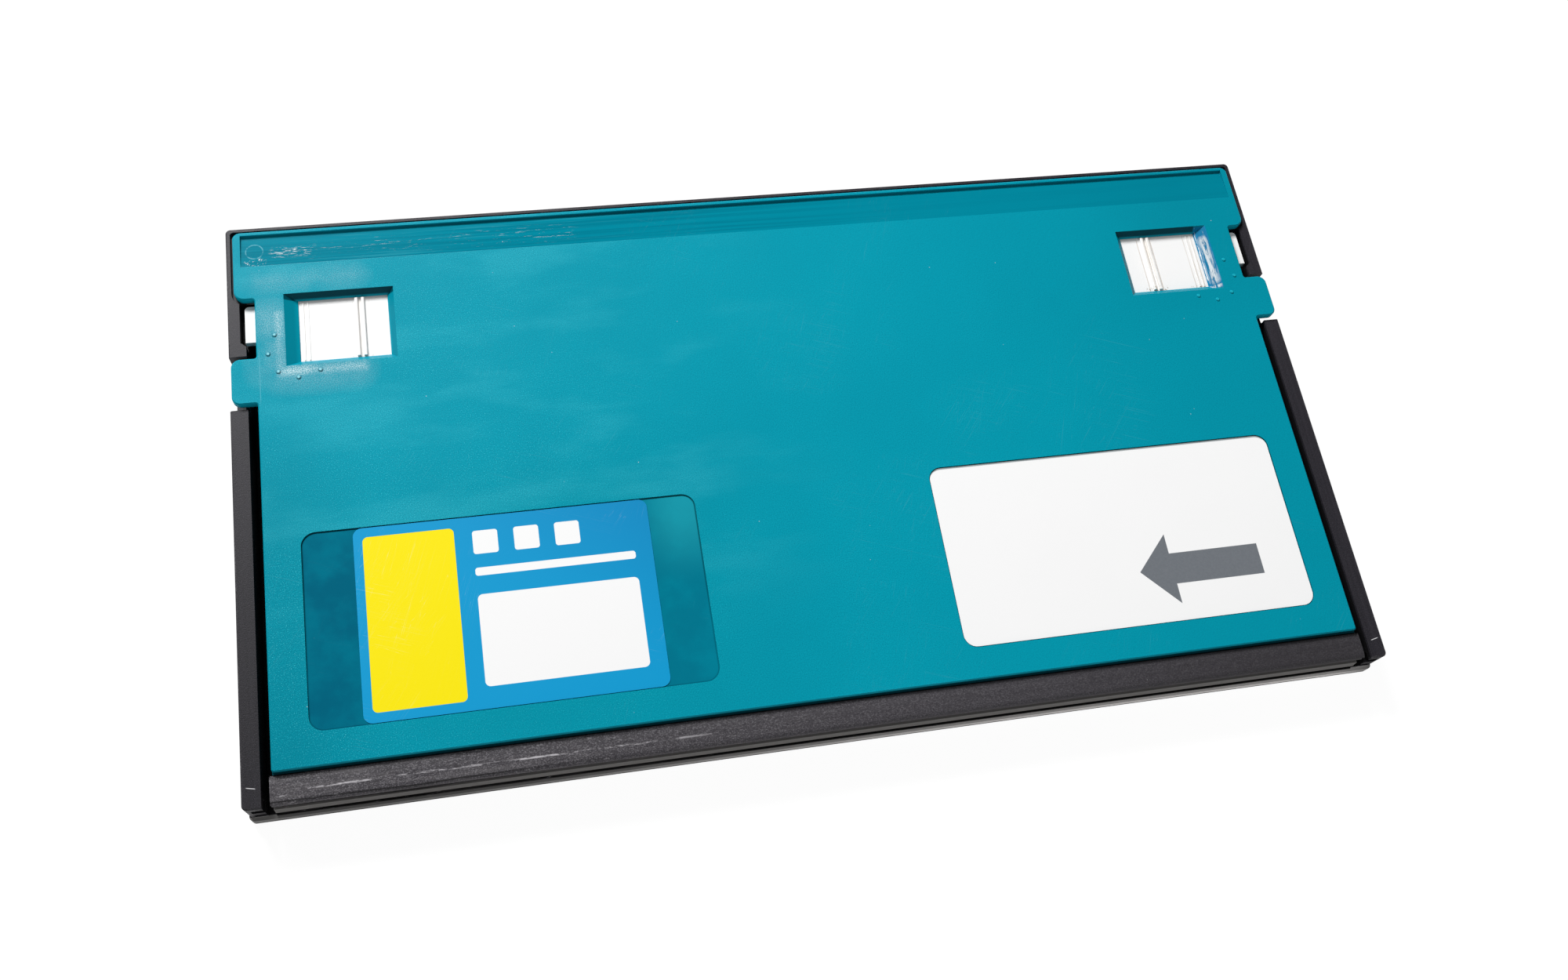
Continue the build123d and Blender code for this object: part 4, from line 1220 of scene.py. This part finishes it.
# %% Sets of screws
def screw_set(name, node, material, head_up):
    """One piece with a cross-head screw at each place of a node of countersunk screws."""
    low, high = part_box(node)
    single = screw_mesh(high.z - low.z, shaft=0.0008, head=0.0016, head_height=0.0008)
    flip = Matrix.Rotation(0.0 if head_up else math.pi, 4, "X")
    shape = bmesh.new()
    for number, (x, y) in enumerate(places_of(node)):
        part = bmesh.new()
        part.from_mesh(single)
        lift = Matrix.Translation((x, y, high.z if head_up else low.z))
        part.transform(lift @ (flip @ Matrix.Rotation(number * TURNED_FURTHER, 4, "Z")))
        copy = mesh_of(part, "screw_copy")
        shape.from_mesh(copy)
        bpy.data.meshes.remove(copy)
    piece = new_piece(name, mesh_of(shape, name), material, node)
    print(name, "faces", len(piece.data.polygons))


# %% Plated steel
def screw_steel():
    """Plated steel, mottled by wear."""
    parts = new_material("screw_steel")
    place = millimetres(parts[1])[0]
    worn = noise(place, 2.5, detail=4.0, roughness=0.7)
    colour = mix(worn, (0.36, 0.36, 0.37), (0.58, 0.58, 0.59))
    return finish_material(parts, colour, worn * 0.2 + 0.25, bump(worn, 0.15, 0.0001), Metallic=1.0)


steel = screw_steel()
screw_set("inner_plate_cross_screws", "inner_plate_screws", steel, head_up=False)
screw_set("guide_cross_screws", "latch_guide_screws", steel, head_up=False)
screw_set("base_leaf_cross_screws", "base_leaf_screws", steel, head_up=True)


# %% [markdown]
# ## Latch springs
#
# Round wire with closer turns at both ends.


# %% Rings of a spring
CLOSER_ENDS, STATIONS_A_TURN, SHORT_STEP = 0.07, 28, 1e-4


def coil_rings(low, high, wire, turns, sides):
    """Rings of a round wire that winds along X inside a box."""
    centre = (low + high) / 2
    radius = (high.y - low.y) / 2 - wire
    start, length = low.x + wire * 1.05, high.x - low.x - 2.1 * wire

    def spot(share):
        angle = math.tau * turns * share
        along = share - CLOSER_ENDS * math.sin(math.tau * share)
        across, up = centre.y + radius * math.cos(angle), centre.z + radius * math.sin(angle)
        return Vector((start + length * along, across, up))

    rings, stations = [], turns * STATIONS_A_TURN
    for i in range(stations + 1):
        share = i / stations
        here = spot(share)
        forward = (spot(share + SHORT_STEP) - spot(share - SHORT_STEP)).normalized()
        outward = Vector((0, here.y - centre.y, here.z - centre.z)).normalized()
        side = forward.cross(outward).normalized()
        outward = side.cross(forward)
        ring = []
        for k in range(sides):
            angle = math.tau * k / sides
            ring.append(tuple(here + (outward * math.cos(angle) + side * math.sin(angle)) * wire))
        rings.append(ring)
    return rings


for side, inner in (("left", 1), ("right", 0)):
    node = "latch_spring_" + side
    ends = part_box(node)
    rings = coil_rings(*ends, wire=0.00017, turns=7, sides=10)
    coil = soft_piece("latch_coil_" + side, steel, node, rings)
    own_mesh(coil)
    print(coil.name, "faces", len(coil.data.polygons))


# %% Plates and guides
front_skin = plain("front_skin", (0.026, 0.026, 0.029), (0.046, 0.046, 0.050), 2.6, 0.42, 0.25)
dress(front_skin, "front_panel")
black_sheet = plain("black_sheet", (0.012, 0.012, 0.012), (0.022, 0.022, 0.022), 0.5, 0.45, 0.1)
dress(black_sheet, "inner_plate")
guide_plastic = plain("guide_plastic", (0.10, 0.11, 0.12), (0.14, 0.15, 0.16), 0.6, 0.45, 0.1)
dress(guide_plastic, "latch_guide_left", "latch_guide_right")
plain_steel = plain("steel", (0.42, 0.42, 0.43), (0.62, 0.62, 0.62), 2.0, 0.25, 0.1, metallic=1.0)
dress(plain_steel, "cover_leaf_screws")
